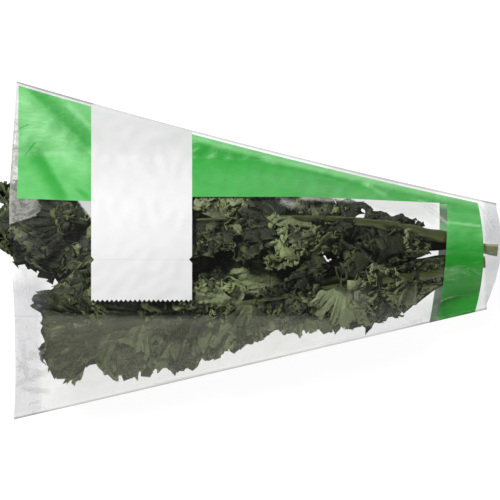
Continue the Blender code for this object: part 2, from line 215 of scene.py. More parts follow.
# Shares of the fold height: pleats, slack diagonals, mouth ripples, crumples, creases
FOLD_SHARES = (0.7, 0.4, 0.5, 0.35, 0.15)
BROAD_FOLD = 0.006  # a fold of more than this half width fades slowly on the left of its line
SLOW_FADE = 2.4
# Folds of the film as seen from above: start, end, half width, height, and the painted light
# on the fold: a painted highlight above 0, painted shade below 0
FOLDS = (
    ((-0.210, 0.152), (-0.152, 0.096), 0.0065, -0.0016, -0.85),
    ((-0.152, 0.071), (-0.217, 0.137), 0.0110, 0.0016, 0.6),
    ((-0.176, 0.047), (-0.203, 0.091), 0.0065, -0.0012, -0.95),
    ((-0.174, 0.134), (-0.152, 0.112), 0.0040, 0.0010, 0.7),
    ((-0.2140, 0.0865), (-0.2035, 0.1000), 0.0013, -0.0004, -1.0),
    ((-0.2190, 0.1120), (-0.2100, 0.1160), 0.0009, -0.0003, -0.8),
    ((-0.2100, 0.1480), (-0.1990, 0.1400), 0.0022, -0.0004, -0.7),
    ((-0.1960, 0.1440), (-0.1860, 0.1330), 0.0020, -0.0004, -0.7),
    ((-0.1650, 0.0560), (-0.1540, 0.0480), 0.0040, -0.0004, -0.7),
    ((-0.060, 0.103), (0.020, 0.083), 0.0050, 0.0010, 0.5),
    ((0.010, 0.084), (0.130, 0.060), 0.0050, 0.0009, 0.55),
    ((0.099, 0.063), (0.121, 0.049), 0.0040, 0.0008, 0.7),
    ((0.176, 0.026), (0.208, 0.022), 0.0022, 0.0007, 0.9),
    ((0.185, -0.058), (0.197, -0.010), 0.0075, -0.0008, -0.8),
    ((-0.222, -0.125), (-0.188, -0.109), 0.0050, -0.0010, -0.5),
    ((-0.216, -0.128), (-0.192, -0.131), 0.0040, 0.0001, 0.7),
    ((-0.214, -0.018), (-0.208, -0.048), 0.0030, 0.0002, 0.6),
    ((-0.216, -0.082), (-0.212, -0.118), 0.0040, 0.0002, 0.7),
    ((-0.203, -0.086), (-0.198, -0.104), 0.0030, 0.0002, 0.5),
    ((0.205, 0.043), (0.219, 0.018), 0.0026, 0.0006, 1.0),
    ((0.156, 0.041), (0.178, 0.024), 0.0028, 0.0008, 1.0),
    ((0.150, 0.046), (0.168, 0.040), 0.0018, 0.0005, 0.9),
    ((0.092, 0.006), (0.118, -0.022), 0.0026, 0.0003, 0.2),
    ((-0.095, -0.124), (0.030, -0.098), 0.0022, 0.0005, 0.6),
    ((0.060, -0.088), (0.150, -0.066), 0.0020, 0.0005, 0.5),
)

# Print: the band's lower edge, which falls past its bend and slants left of the panel, the ring
# at the neck, and the bare margins
BAND_LOW = 0.0491
BAND_BEND_X = 0.05
BAND_FALL = 0.047
LEFT_PART_X = -0.11
LEFT_END_X = -0.22
LEFT_DROP = 0.0014
LEFT_SLANT = 0.04
BAND_END_X = 0.205
RING_START_X = 0.1765
RING_START_Y = 0.03
RING_BACK_SHIFT = 0.007
RING_END_X = 0.2101
RING_END_Y = -0.002
RING_END_BOW = 2.6
BARE_EDGE = 0.0035
BARE_MOUTH = 0.0038
# Panel, with its zigzag foot and a dotted line that ends in two notches
PANEL_LEFT = -0.1523
PANEL_RIGHT = -0.0591
PANEL_LOW = -0.0468
PANEL_MARGIN = 0.0012
ZIGZAG_PITCH = 0.0043
ZIGZAG_HEIGHT = 0.0011
DOTTED_Y = -0.0088
DOT_PITCH = 0.0017
DOT_HALF_HEIGHT = 0.0006
DOTTED_MIDDLE = -0.107
DOTTED_HALF_LENGTH = 0.041
NOTCH_HALF_WIDTH = 0.0030
NOTCH_DEPTH = 0.9
# Unprinted film: the two places along X or Y, or distances from an edge, between which each patch
# fades in, and the feet, slopes and lines of the slanting ones
STRIP_Y = (-0.0580, -0.0655)
STRIP_X = (0.085, 0.055)
STRIP_CREASE = ((-0.226, -0.0612), (0.050, -0.0612), 0.0009)
CORNER_X = (-0.186, -0.204)
CORNER_Y = (-0.018, -0.040)
LOW_MARGIN = (0.034, 0.014)
NECK_FILM_X = (0.206, 0.214)
FLAP_X = (-0.1965, -0.2020)
FLAP_FOOT = (-0.227, 0.024)
FLAP_SLOPE = 0.31
FLAP_CREASES = (((0.021, 0.046), (0.038, 0.041), 0.006), ((0.040, 0.0485), (0.090, 0.0455), 0.004))
GAP_START_X = (0.055, 0.075)
GAP_END_X = (0.172, 0.162)
GAP_FOOT = (0.09, 0.044)
GAP_SLOPE = -0.28
PATCH_LINE = ((0.093, -0.030), (0.093, -0.056), 0.016)
WEDGE_FOOT = (-0.166, 0.0455)
WEDGE_SLOPE = -1.27
WEDGE_END_X = -0.150
LIP = 0.0030
EDGE_LINE = (0.0024, 0.0008)
# Greys of the film, from dark to milky; the milky one is also the colour of painted glints
CORNER_GREY = (0.135, 0.130, 0.165, 1)
EDGE_GREY = (0.30, 0.30, 0.31, 1)
FLAP_GREY = (0.34, 0.34, 0.31, 1)
STRIP_GREY = (0.41, 0.42, 0.31, 1)
DOT_GREY = (0.62, 0.64, 0.62, 1)
MILKY_GLINT = (0.86, 0.86, 0.87, 1)
# Greens of the leaves and stems that no setting holds
# yellower curls, partly painted light through their thin margins
CURL_YELLOWER_AND_LIT = (0.21, 0.26, 0.095, 1)
# the stem's last centimetre: its paler green, partly painted light against the shadow of the ring
TRIMMED_PALER_AND_LIT = (0.230, 0.310, 0.045, 1)
TRIMMED_YELLOW = (0.78, 0.78, 0.34, 1)
CUT_GREEN = (0.52, 0.56, 0.30, 1)
TRIMMED_X = (0.206, 0.212)
TRIMMED_AROUND = (0.84, 0.88)

# Studio
FLOOR_HALF_WIDTH = 3.0
FLOOR_DROP = 0.0003
FLOOR_GREY = (0.22, 0.22, 0.22, 1)
FLOOR_GLOW = 0.90
KEY_PLACE = (-0.7, 0.8, 1.15)
KEY_SIZE = (0.45, 0.35)
FILL_PLACE = (0.8, -1.1, 0.9)
FILL_SIZE = (0.5, 0.2)
FILL_SHARE = 0.42
WHITE = (1, 1, 1, 1)


def through(stops, x):
    """Smooth curve through the stops (position, value), level beyond the first and the last:
    cubic Hermite pieces whose slopes are the central differences of the stops."""
    at = np.array([s[0] for s in stops])
    value = np.array([s[1] for s in stops])
    slope = np.gradient(value, at)
    x = np.clip(np.asarray(x, float), at[0], at[-1])
    i = np.clip(np.searchsorted(at, x, side="right") - 1, 0, len(at) - 2)
    step = at[i + 1] - at[i]
    t = (x - at[i]) / step
    return ((2 * t**3 - 3 * t**2 + 1) * value[i] + (t**3 - 2 * t**2 + t) * step * slope[i]
            + (3 * t**2 - 2 * t**3) * value[i + 1] + (t**3 - t**2) * step * slope[i + 1])


def ramp(x, start, end):
    """Eased rise from 0 at start to 1 at end: 3t^2 - 2t^3."""
    t = np.clip((x - start) / (end - start), 0, 1)
    return t * t * (3 - 2 * t)


def wander(x, y, size, seed, waves=7):
    """Smooth irregular field of about unit height: a mean of sines of like wavelength whose
    directions and phases are drawn from the seed, scaled to unit spread."""
    draw = np.random.default_rng(seed)
    total = 0.0
    for _ in range(waves):
        angle, phase = draw.uniform(0, 2 * math.pi, 2)
        pitch = 2 * math.pi / (size * draw.uniform(0.7, 1.5))
        total = total + np.sin(pitch * (x * math.cos(angle) + y * math.sin(angle)) + phase)
    return total / math.sqrt(waves / 2)


def edge_lines(x):
    """Y of the sleeve's lower and upper edge at x: straight, the upper one drawn in by a parabola."""
    t = np.clip((x - MOUTH_X) / (NECK_X - MOUTH_X), 0, 1)
    low = -MOUTH_HALF_WIDTH + (NECK_LOW + MOUTH_HALF_WIDTH) * t
    high = MOUTH_HALF_WIDTH + (NECK_HIGH - MOUTH_HALF_WIDTH) * t
    return low, high - EDGE_BOW * 4 * t * (1 - t)


def bulge_share(x, y):
    """Distance from the bulge's middle line, 1 where the film meets the flat margin."""
    low, high, drape = through(BUNCH_LOW, x), through(BUNCH_HIGH, x), through(DRAPE, x)
    return np.abs(y - (low + high) / 2) / ((high - low) / 2 + drape)


def film_heights(x, y):
    """Inner heights of the film under and over (x, y): a dome (1 - share^3)^1.5 over the bunch, and
    a floor that lies flat under it and rises to the seams."""
    low, high = edge_lines(x)
    across = np.clip((y - low) / (high - low), 0, 1)
    middle = through(LOW_SEAM_Z, x) * (1 - across) + through(HIGH_SEAM_Z, x) * across
    from_seam = np.minimum(y - low, high - y) - SEAM
    half_gap = (SEAM_GAP + (TAIL_GAP - SEAM_GAP) * ramp(from_seam, 0, 0.03)) / 2
    away = bulge_share(x, y)
    dome = np.clip(1 - away**3, 0, 1) ** 1.5
    top = middle + half_gap + through(BULGE, x) * dome
    bottom = FLOOR_FILM + (middle - half_gap - FLOOR_FILM) * ramp(away, FLAT_SHARE, 1.0)
    return bottom, top


def layer_weights(x):
    """Share of the height that each layer takes at x: even shares, but the top layer is thin
    towards the mouth, and the lower ones are thinner past the middle and even again at the neck."""
    short = 0.08 + 1.12 * ramp(x, -0.135, -0.060)
    neck = ramp(x, 0.14, 0.19)
    lower = 1.0 - 0.22 * ramp(x, 0.0, 0.10) * (1 - neck)
    weights = [0.92 * lower + 0.08 * neck, lower, lower, np.ones_like(x), short + (1 - short) * neck]
    return np.stack(weights) / np.sum(weights, axis=0)


def layer_room(layer, x, y):
    """Middle height and half height of the room that a layer has at (x, y): its share of the
    height between the films, with borders that rise and fall by a product of two sines."""
    bottom, top = film_heights(x, y)
    bottom, top = bottom + BOTTOM_CLEAR, top - TOP_CLEAR
    weights = layer_weights(x)
    wave = NESTING * (1 - ramp(x, 0.05, 0.14)) * np.sin(66 * x + 21 * y + 0.6) * np.sin(
        58 * y - 17 * x + 0.9)

    def border(number):
        share = np.sum(weights[:number], axis=0)
        return bottom + (top - bottom) * (share + wave * share * (1 - share))

    low, high = border(layer), border(layer + 1)
    return (low + high) / 2, np.maximum((high - low) / 2 - LAYER_GAP, 0.0003)


def split_line(layer, x, level):
    """Y of the wall between a layer's two leaves at a level from -1 to 1 within the layer: the
    middle line of the bunch with two sines, slanting with the level."""
    spread = 1 - ramp(x, 0.08, 0.16)
    ripple = 0.003 * np.sin(70 * x + 2.1 * layer) + 0.015 * np.sin(50 * x + 2.4 * layer + 1.0)
    apart = SPLIT_SHIFT[layer] * (1 - ramp(x, 0.0, 0.08))
    return through(SPLIT_LINE, x) + apart + spread * (ripple + WALL_SLANT * (-1) ** layer * level)


def soft_rise(x):
    """Zero well below 0 and x well above it, rounded off between them: s ln(1 + e^(x/s))."""
    return WALL_SOFTNESS * np.logaddexp(0, x / WALL_SOFTNESS)


def held_between_walls(leaf, x, y, level):
    """Y kept on the leaf's side of its layer and inside the bunch, by a soft rise off each wall.
    The bunch's own outline is drawn back and scalloped by a sum of sines."""
    wall = split_line(leaf.layer, x, level)
    ragged = sum(tall * (0.6 + np.sin(pitch * x + 2.3 * leaf.layer)) for tall, pitch in SCALLOPS)
    ragged = ragged * (1 - ramp(x, 0.13, 0.17))
    low = through(BUNCH_LOW, x) + through(DRAWN_BACK, x) + ragged
    high = through(BUNCH_HIGH, x) - 0.6 * ragged
    if leaf.high:
        low = wall + LAYER_GAP
    else:
        high = wall - LAYER_GAP
    y = low + soft_rise(y - low)
    return high - soft_rise(high - y)


def placed(leaf, x, y, lift):
    """The point (x, y) raised by lift half heights in the leaf's own room: level = tanh(lift)."""
    level = np.tanh(lift)
    y = held_between_walls(leaf, x, y, level)
    middle, half = layer_room(leaf.layer, x, y)
    return np.stack([x, y, middle + half * level], -1)


def kept_in_room(leaf, points):
    """Points brought back into the leaf's own room: the level runs straight up to 0.8 and then
    bends over so that it never passes 1, and past the wavy line of the tips X is drawn in
    likewise."""
    x, y, z = points[..., 0], points[..., 1], points[..., 2]
    end = through(TIP_LINE, y) + 0.005 * np.sin(260 * y + 1.7 * leaf.layer)
    x = np.where(x < end, end - TIP_SOFTNESS * np.tanh((end - x) / TIP_SOFTNESS), x)
    middle, half = layer_room(leaf.layer, x, y)
    level = np.clip((z - middle) / half, -1.5, 1.5)
    over = np.maximum(np.abs(level) - 0.8, 0)
    level = np.sign(level) * (np.minimum(np.abs(level), 0.8) + 0.2 * np.tanh(over / 0.2))
    y = held_between_walls(leaf, x, y, level)
    middle, half = layer_room(leaf.layer, x, y)
    return np.stack([x, y, middle + half * level], -1)


def leaf_line(leaf, t):
    """Plan position and heading along the leaf, 0 at the cut end and 1 at the tip: a cubic curve."""
    start, end = np.array(leaf.cut), np.array(leaf.tip)
    reach = np.linalg.norm(end - start)
    heading = math.radians(leaf.fan)
    far = end + 0.36 * reach * np.array([math.cos(heading), -math.sin(heading)])
    near = start + np.array([-0.36 * reach, leaf.bow])
    t = np.asarray(t, float)[..., None]
    point = ((1 - t) ** 3 * start + 3 * (1 - t) ** 2 * t * near + 3 * (1 - t) * t**2 * far
             + t**3 * end)
    along = (1 - t) ** 2 * (near - start) + 2 * (1 - t) * t * (far - near) + t**2 * (end - far)
    return point, along / np.linalg.norm(along, axis=-1, keepdims=True)


def reach_of(leaf, u, side, point, outward):
    """How far the blade goes out from the rib: lobed, rounded at the tip and held to its room by the
    soft minimum (a^-8 + b^-8)^(-1/8)."""
    swell = (0.16 + 0.84 * ramp(u, 0.0, 0.36)) * np.sqrt(np.clip(1.04 - u**3, 0.02, 1))
    lobe = np.cos(2 * math.pi * (leaf.lobes * u + 0.13 * side + leaf.phase))
    cut = 0.44 - 0.20 * u
    wanted = leaf.half_width * swell * (1 - cut * np.clip(0.5 - 0.75 * lobe, 0, 1))
    x = point[..., 0]
    if (side > 0) == leaf.high:
        limit = through(BUNCH_HIGH if leaf.high else BUNCH_LOW, x)
    else:
        limit = split_line(leaf.layer, x, 0.5 * (-1) ** (leaf.layer + leaf.high + 1))
    clear = np.maximum((point[..., 1] - limit) * (-1 if side > 0 else 1), 0.0)
    room = np.maximum(clear / np.maximum(np.abs(outward[..., 1]), 0.5), 0.002)
    return (wanted**-8 + room**-8) ** -0.125


def unit(vectors):
    """The vectors scaled to length 1."""
    return vectors / np.maximum(np.linalg.norm(vectors, axis=-1, keepdims=True), 1e-12)


def surface_frame(points):
    """Unit normal, and unit directions along the rows and along the columns, of a grid of points."""
    down = np.gradient(points, axis=0)
    across = np.gradient(points, axis=1)
    return unit(np.cross(down, across)), unit(down), unit(across)


def drawn(draw, ranges):
    """One even draw from each named range, in turn, with the spread turned into radians."""
    shape = {name: draw.uniform(*span) for name, span in ranges.items()}
    shape["spread"] = math.radians(shape["spread"])
    return shape


def reach_wanted(leaf, u, sign, point, axis, draw):
    """Length that a lobe takes from the blade's reach, longer near the stem and varied by a draw,
    on the outer side within a share of the free room."""
    length = float(reach_of(leaf, np.array([u]), sign, point[None], axis[None])[0])
    length *= 1 + 0.9 * (1 - ramp(u, 0.0, 0.30))
    if (sign > 0) != leaf.high:
        return length * draw.uniform(*INNER_REACH)
    wall = through(BUNCH_HIGH if leaf.high else BUNCH_LOW, point[0])
    free = abs(wall - point[1]) / max(abs(axis[1]), 0.35)
    share = 1.0 if leaf.high else through(HANGING, point[0] + axis[0] * free)
    return min(length, free * draw.uniform(*OUTER_REACH) * share)


def lobe_on(leaf, u, sign, lean, length, draw):
    """A lobe at u along the blade on one side, leaning forward and with a drawn shape. It is cut
    back where its tip would pass the line to which the leaves reach, and on the outer side low
    down it hangs, calmer and paler."""
    point, heading = leaf_line(leaf, leaf.blade + (1 - leaf.blade) * u)
    normal = np.array([heading[1], -heading[0]]) * sign
    axis = normal * math.cos(lean) + heading * math.sin(lean)
    outer = (sign > 0) == leaf.high
    if length is None:
        length = reach_wanted(leaf, u, sign, point, axis, draw)
    tip = point + axis * length
    past = through(TIP_LINE, tip[1]) - tip[0]
    if past > 0:
        length *= max(0.25, 1 - past / max(point[0] - tip[0], 1e-6))
    hangs = float(ramp(-tip[1], HANG_FROM, HANG_FULL)) * (outer and not leaf.high)
    shape = drawn(draw, LOBE_RANGES)
    if leaf.name == "leaf_09" and u < 0.5:
        shape["rise"] -= HERO_DIP
    if not outer and draw.uniform() < SOFT_SHARE:
        curl = draw.uniform(*SOFT_CURL)
    else:
        curl = draw.uniform(*FULL_CURL) * (1 - 0.7 * hangs)
    return Lobe(
        point=point, axis=axis, length=length, curl=curl, sway=draw.uniform(*LOBE_SWAY),
        phase=draw.uniform(0, FULL_TURN),
        tone=min(1.0, draw.uniform(0.0, 1.0) ** 2.2 + HANG_PALER * hangs), lift=0.0,
        frill=1 - HANG_CALMER * hangs, **shape)


def lobes_of(leaf):
    """The blade's lobes in turn from the stem to the tip: pairs of fans that lean forward by drawn
    angles, one at the end, and those that fill the bunch towards the mouth."""
    draw = np.random.default_rng(LOBE_SEED + int(leaf.name[-2:]))
    lobes = []
    for k in range(2 * leaf.pairs):
        u = FIRST_PAIR + PAIRS_RUN * (k + draw.uniform(0.0, 1.0)) / (2 * leaf.pairs)
        lean = math.radians(draw.uniform(*LOBE_LEAN))
        lobes.append(lobe_on(leaf, u, 1 if k % 2 else -1, lean, None, draw))
    lobes.append(lobe_on(leaf, END_LOBE, -1, math.radians(90), END_LENGTH * leaf.half_width, draw))
    for u, side, lean, length in MORE_LOBES.get(leaf.name, ()):
        lobes.append(lobe_on(leaf, u, side, math.radians(lean), length, draw))
    return lobes


def tufts_of(leaf, lobe, points, draw):
    """Small curled lobes that grow out of a lobe near its margin, each from a drawn point of its
    grid and on in the direction that the lobe has there."""
    rows, columns, _ = points.shape
    tufts = []
    for _ in range(leaf.tufts if lobe.frill > 0.8 else leaf.tufts - 1):
        row = rows - 2 - int(draw.integers(0, rows // 3))
        column = int(draw.integers(2, columns - 2))
        start = points[row, column]
        along = points[row, column, :2] - points[row - 3, column, :2]
        turn = draw.uniform(-TUFT_TURN, TUFT_TURN)
        way = along / max(np.linalg.norm(along), 1e-6)
        axis = np.array([way[0] * math.cos(turn) - way[1] * math.sin(turn),
                         way[0] * math.sin(turn) + way[1] * math.cos(turn)])
        middle, _ = layer_room(leaf.layer, start[0], start[1])
        shape = drawn(draw, TUFT_RANGES)
        tufts.append(Lobe(
            point=start[:2], axis=axis, phase=draw.uniform(0, FULL_TURN),
            tone=min(1.0, (lobe.tone + draw.uniform(*TUFT_PALER)) * (1.4 * lobe.frill - 0.4)),
            lift=float(start[2] - middle), frill=1.0, **shape))
    return tufts


def lobe_surface(leaf, lobe, curl, rows, columns):
    """Grid of points of one lobe, rows from the rib outwards and columns round the margin, with its
    share from rib to margin and its veins.

    The plan is a fan: base + direction(spread a) length(a) advance(r), with a from -1 to 1 and a
    length scalloped by cosines and cut into teeth |sin|^0.6 at the margin. Its height is length
    (rise r + bow r^2 + roll r sin + fold r |a|). Past half way out the profile bends up or down on
    an arc. Sines of the margin's own length, in three sizes that set in nearer and nearer to the
    margin, then push the sheet along its normal, and sines of twice the phase push it along the
    margin, so that the frills fold over."""
    r = (1 - (1 - np.linspace(0, 1, rows)) ** 1.4)[:, None]  # closer rows near the margin
    a = np.linspace(-1, 1, columns)[None, :]
    across = np.array([-lobe.axis[1], lobe.axis[0]])
    beta = lobe.spread * a
    length = lobe.length * (1 - 0.26 * a**2 + 0.10 * np.cos(7.0 * a + lobe.phase)
                            + 0.06 * np.cos(17 * a + 2 * lobe.phase))
    turns = lobe.spread * lobe.length * a / TOOTH + 0.7 * np.sin(9 * a + lobe.phase)
    teeth = np.abs(np.sin(math.pi * turns)) ** 0.6
    length = length - (0.0026 * (1 - teeth) + 0.0010 * (1 - np.abs(np.sin(7.3 * turns)))) * r**7
    bend = lobe.curl + lobe.sway * np.sin(2.4 * a + lobe.phase)
    q = np.clip((r - BEND_START) / (1 - BEND_START), 0, 1)
    advance = np.minimum(r, BEND_START) + (1 - BEND_START) * q * np.sinc(bend * q / math.pi)
    lift = (1 - BEND_START) * q * (bend * q / 2) * np.sinc(bend * q / 2 / math.pi) ** 2
    base = LOBE_BASE * a * (1 - 0.7 * r)
    plan = (lobe.point + across * base[..., None]
            + (lobe.axis * np.cos(beta)[..., None] + across * np.sin(beta)[..., None])
            * (length * advance)[..., None])
    height = lobe.lift + length * (lobe.rise * r + lobe.bow * r**2 + lobe.roll * r * np.sin(beta)
                                   + lobe.fold * r * (np.abs(a) - 0.4) + lift)
    _, room = layer_room(leaf.layer, plan[..., 0], plan[..., 1])
    points = placed(leaf, plan[..., 0], plan[..., 1], height / np.maximum(room, 0.002))

    edge = points[-1]
    margin = np.concatenate([[0], np.cumsum(np.linalg.norm(np.diff(edge, axis=0), axis=1))])[None]
    seed = int(lobe.phase * 1000)
    size = np.minimum(1.0, lobe.length / 0.024)
    for number, (pitch, tall, slide, begin) in enumerate(RUFFLES):
        strength = curl * lobe.frill * size * ramp(r, begin, 1.0 + 0.15 * (1 - begin))
        uneven = wander(margin, r * 0.5 * pitch, pitch * 2.7, seed + number)
        phase = 2 * math.pi * margin / pitch + 1.6 * uneven + 2.2 * r
        facing, outwards, along = surface_frame(points)
        swing = strength * (1 + 0.4 * wander(margin, r * pitch, pitch * 4, seed + number + 20))
        points = (points + facing * (tall * swing * np.sin(phase))[..., None]
                  + along * (slide * swing * np.sin(2 * phase + 0.6))[..., None]
                  + outwards * (0.6 * slide * swing * np.cos(1.31 * phase))[..., None])
    points = kept_in_room(leaf, points)

    wide = 0.0005 * (1 - 0.7 * r) + 0.00012
    bent = beta + 0.34 * np.sin(3.2 * r + lobe.phase) * r
    middle = np.exp(-(bent * lobe.length * r / wide) ** 2) * (1 - ramp(r, 0.6, 0.95))
    chevron = (4.5 * r - 2.6 * np.abs(bent) / lobe.spread + lobe.phase + 0.5) % 1.0 - 0.5
    side = np.exp(-(chevron * lobe.length / 4.5 / (0.6 * wide)) ** 2) * (1 - ramp(r, 0.55, 0.85))
    vein = np.maximum(middle, 0.45 * side) * ramp(r, 0.06, 0.22)
    spot = np.stack(np.broadcast_arrays(r * lobe.length, beta * lobe.length), -1)
    return points, r * np.ones_like(a), vein, spot


def grid_cells(number):
    """Corner numbers of each cell of a grid, in turn round the cell."""
    cells = np.stack([number[:-1, :-1], number[1:, :-1], number[1:, 1:], number[:-1, 1:]], -1)
    return cells.reshape(-1, 4)


def shell_faces(rows, columns):
    """Faces of a closed shell made of two like grids: the lower skin, the upper skin and the rim."""
    number = np.arange(rows * columns).reshape(rows, columns)
    cells = grid_cells(number)
    ring = np.concatenate([number[0, :-1], number[:-1, -1], number[-1, :0:-1], number[:0:-1, 0]])
    after = np.roll(ring, -1)
    above = rows * columns
    rim = np.stack([ring, ring + above, after + above, after], -1)
    return np.concatenate([cells[:, ::-1], cells + above, rim])


def mesh_object(name, vertices, face_groups, values, map_groups, materials):
    """A smooth shaded mesh object. Each group of faces is an array of equal polygons and takes the
    material of the same place in the list; values are attributes of the points."""
    mesh = bpy.data.meshes.new(name)
    mesh.vertices.add(len(vertices))
    mesh.vertices.foreach_set("co", np.asarray(vertices, np.float32).ravel())
    corners = np.concatenate([g.ravel() for g in face_groups])
    sizes = np.concatenate([np.full(len(g), g.shape[1]) for g in face_groups])
    starts = np.concatenate([[0], np.cumsum(sizes)[:-1]])
    slots = np.concatenate([np.full(len(g), i) for i, g in enumerate(face_groups)])
    mesh.loops.add(len(corners))
    mesh.loops.foreach_set("vertex_index", corners.astype(np.int32))
    mesh.polygons.add(len(sizes))
    mesh.polygons.foreach_set("loop_start", starts.astype(np.int32))
    mesh.update(calc_edges=True)
    for key, value in values.items():
        layer = mesh.attributes.new(key, "FLOAT", "POINT")
        layer.data.foreach_set("value", np.asarray(value, np.float32).ravel())
    layer = mesh.uv_layers.new(name="UVMap")
    corner_map = np.concatenate([m.reshape(-1, 2) for m in map_groups])
    layer.data.foreach_set("uv", corner_map.astype(np.float32).ravel())
    for material in dict.fromkeys(materials):
        mesh.materials.append(material)
    order = [list(dict.fromkeys(materials)).index(m) for m in materials]
    mesh.polygons.foreach_set("material_index", np.array(order, np.int32)[slots])
    mesh.shade_smooth()
    thing = bpy.data.objects.new(name, mesh)
    bpy.context.scene.collection.objects.link(thing)
    return thing


def stem_section(sides):
    """Section of a stem, one unit each way: round below, flatter above, with a shallow channel
    pressed in there by a narrow bell."""
    angle = np.linspace(0, 2 * math.pi, sides, endpoint=False)
    channel = np.exp(-((angle - math.pi / 2) / 0.42) ** 2)
    radius = 1 - 0.10 * np.maximum(np.sin(angle), 0) - 0.22 * channel + 0.03 * np.cos(5 * angle)
    return np.stack([radius * np.cos(angle), radius * np.sin(angle)], -1)


def stem_bar(leaf, rings, sides):
    """Closed bar of the stem and the rib it runs on into: the section carried along the leaf's line
    and scaled by 1 - 0.76 ramp^0.8 and slight knots, with a narrower ring at the cut and a cap at
    each end. It turns over with the leaf's face."""
    t = np.linspace(0, leaf.blade + (1 - leaf.blade) * RIB_END, rings)
    t = np.concatenate([[0.0, 0.0012], t[1:]])
    size = 1 - (1 - RIB_TIP_SHARE) * ramp(t, 0.05, 1.0) ** 0.8
    size[0] *= 0.93
    size[-1] *= 0.5
    point, _ = leaf_line(leaf, t)
    grown = ramp(t, leaf.blade * 0.5, leaf.blade)
    path = placed(leaf, point[:, 0], point[:, 1], -RIB_LIFT * leaf.face * grown)
    path[:, 2] -= RIB_OFFSET * leaf.face * size * STEM_HALF_HEIGHT * grown
    along = unit(np.gradient(path, axis=0))
    side = unit(np.cross(along, np.array([0.0, 0.0, 1.0])))
    up = np.cross(side, along) * leaf.face
    section = stem_section(sides)
    knots = 1 + 0.05 * wander(t[:, None] * 0.4, 0.0, 0.02, 11)
    ring = (path[:, None] + side[:, None] * (section[:, 0] * STEM_HALF_WIDTH * size[:, None]
                                             * knots)[..., None]
            + up[:, None] * (section[:, 1] * STEM_HALF_HEIGHT * size[:, None] * knots)[..., None])
    number = np.arange(len(t) * sides).reshape(len(t), sides)
    closed = np.concatenate([number, number[:, :1]], axis=1)
    walls = grid_cells(closed)
    caps = np.stack([number[0], number[-1, ::-1]])
    run = np.concatenate([[0], np.cumsum(np.linalg.norm(np.diff(path, axis=0), axis=1))])
    around = np.arange(sides + 1) / sides
    grid_map = np.stack(np.broadcast_arrays(run[:, None], around[None, :]), -1)
    cell_map = np.stack([grid_map[:-1, :-1], grid_map[1:, :-1], grid_map[1:, 1:],
                         grid_map[:-1, 1:]], -2).reshape(-1, 4, 2)
    if leaf.face < 0:
        walls, cell_map, caps = walls[:, ::-1], cell_map[:, ::-1], caps[:, ::-1]
    cap_map = np.stack([section * 0.5, section * 0.5])
    cut = np.zeros(number.shape)
    cut[0] = 1.0
    return ring.reshape(-1, 3), walls, caps, cell_map, cap_map, cut.ravel()


def build_leaf(leaf, settings, materials):
    """One leafy stem in one mesh: a thin closed shell for each lobe of the blade, and the bar of its
    stem and rib."""
    half = settings.thickness / 2
    skins, faces, spots, rims, veins, unders, tones = [], [], [], [], [], [], []
    draw = np.random.default_rng(TUFT_SEED + int(leaf.name[-2:]))
    waiting = [(lobe, leaf.grid) for lobe in lobes_of(leaf)]
    start = 0
    while waiting:
        lobe, (rows, columns) = waiting.pop(0)
        points, rim, vein, spot = lobe_surface(leaf, lobe, settings.curl, rows, columns)
        if (rows, columns) == leaf.grid:
            waiting += [(tuft, TUFT_GRID) for tuft in tufts_of(leaf, lobe, points, draw)]
        else:
            vein = vein * 0.0
        facing, _, _ = surface_frame(points)
        ridge = half + VEIN_RIDGE * vein
        lower, upper = (ridge, half) if leaf.face > 0 else (half, ridge)
        count = rows * columns
        faces.append(shell_faces(rows, columns) + start)
        start += 2 * count
        skins += [points - facing * np.broadcast_to(lower, rim.shape)[..., None],
                  points + facing * np.broadcast_to(upper, rim.shape)[..., None]]
        spots += [spot, spot]
        rims += [rim, rim]
        veins += [vein, vein]
        unders += [np.full(count, leaf.face > 0), np.full(count, leaf.face < 0)]
        tones.append(np.full(2 * count, lobe.tone))
    blade = np.concatenate([skin.reshape(-1, 3) for skin in skins])
    spot = np.concatenate([each.reshape(-1, 2) for each in spots])
    faces = np.concatenate(faces)
    bar, walls, caps, cell_map, cap_map, cut = stem_bar(leaf, settings.stem_rings, STEM_SIDES)
    none = np.zeros(len(bar))
    values = {
        "rim": np.concatenate([each.ravel() for each in rims] + [none]),
        "vein": np.concatenate([each.ravel() for each in veins] + [none]),
        "under": np.concatenate(unders + [none]),
        "tone": np.concatenate(tones + [none]),
        "cut": np.concatenate([np.zeros(len(blade)), cut]),
    }
    blade_paint, stem_paint = materials
    return mesh_object(
        leaf.name, np.concatenate([blade, bar]), [faces, walls + len(blade), caps + len(blade)],
        values, [spot[faces], cell_map, cap_map], [blade_paint, stem_paint, stem_paint])


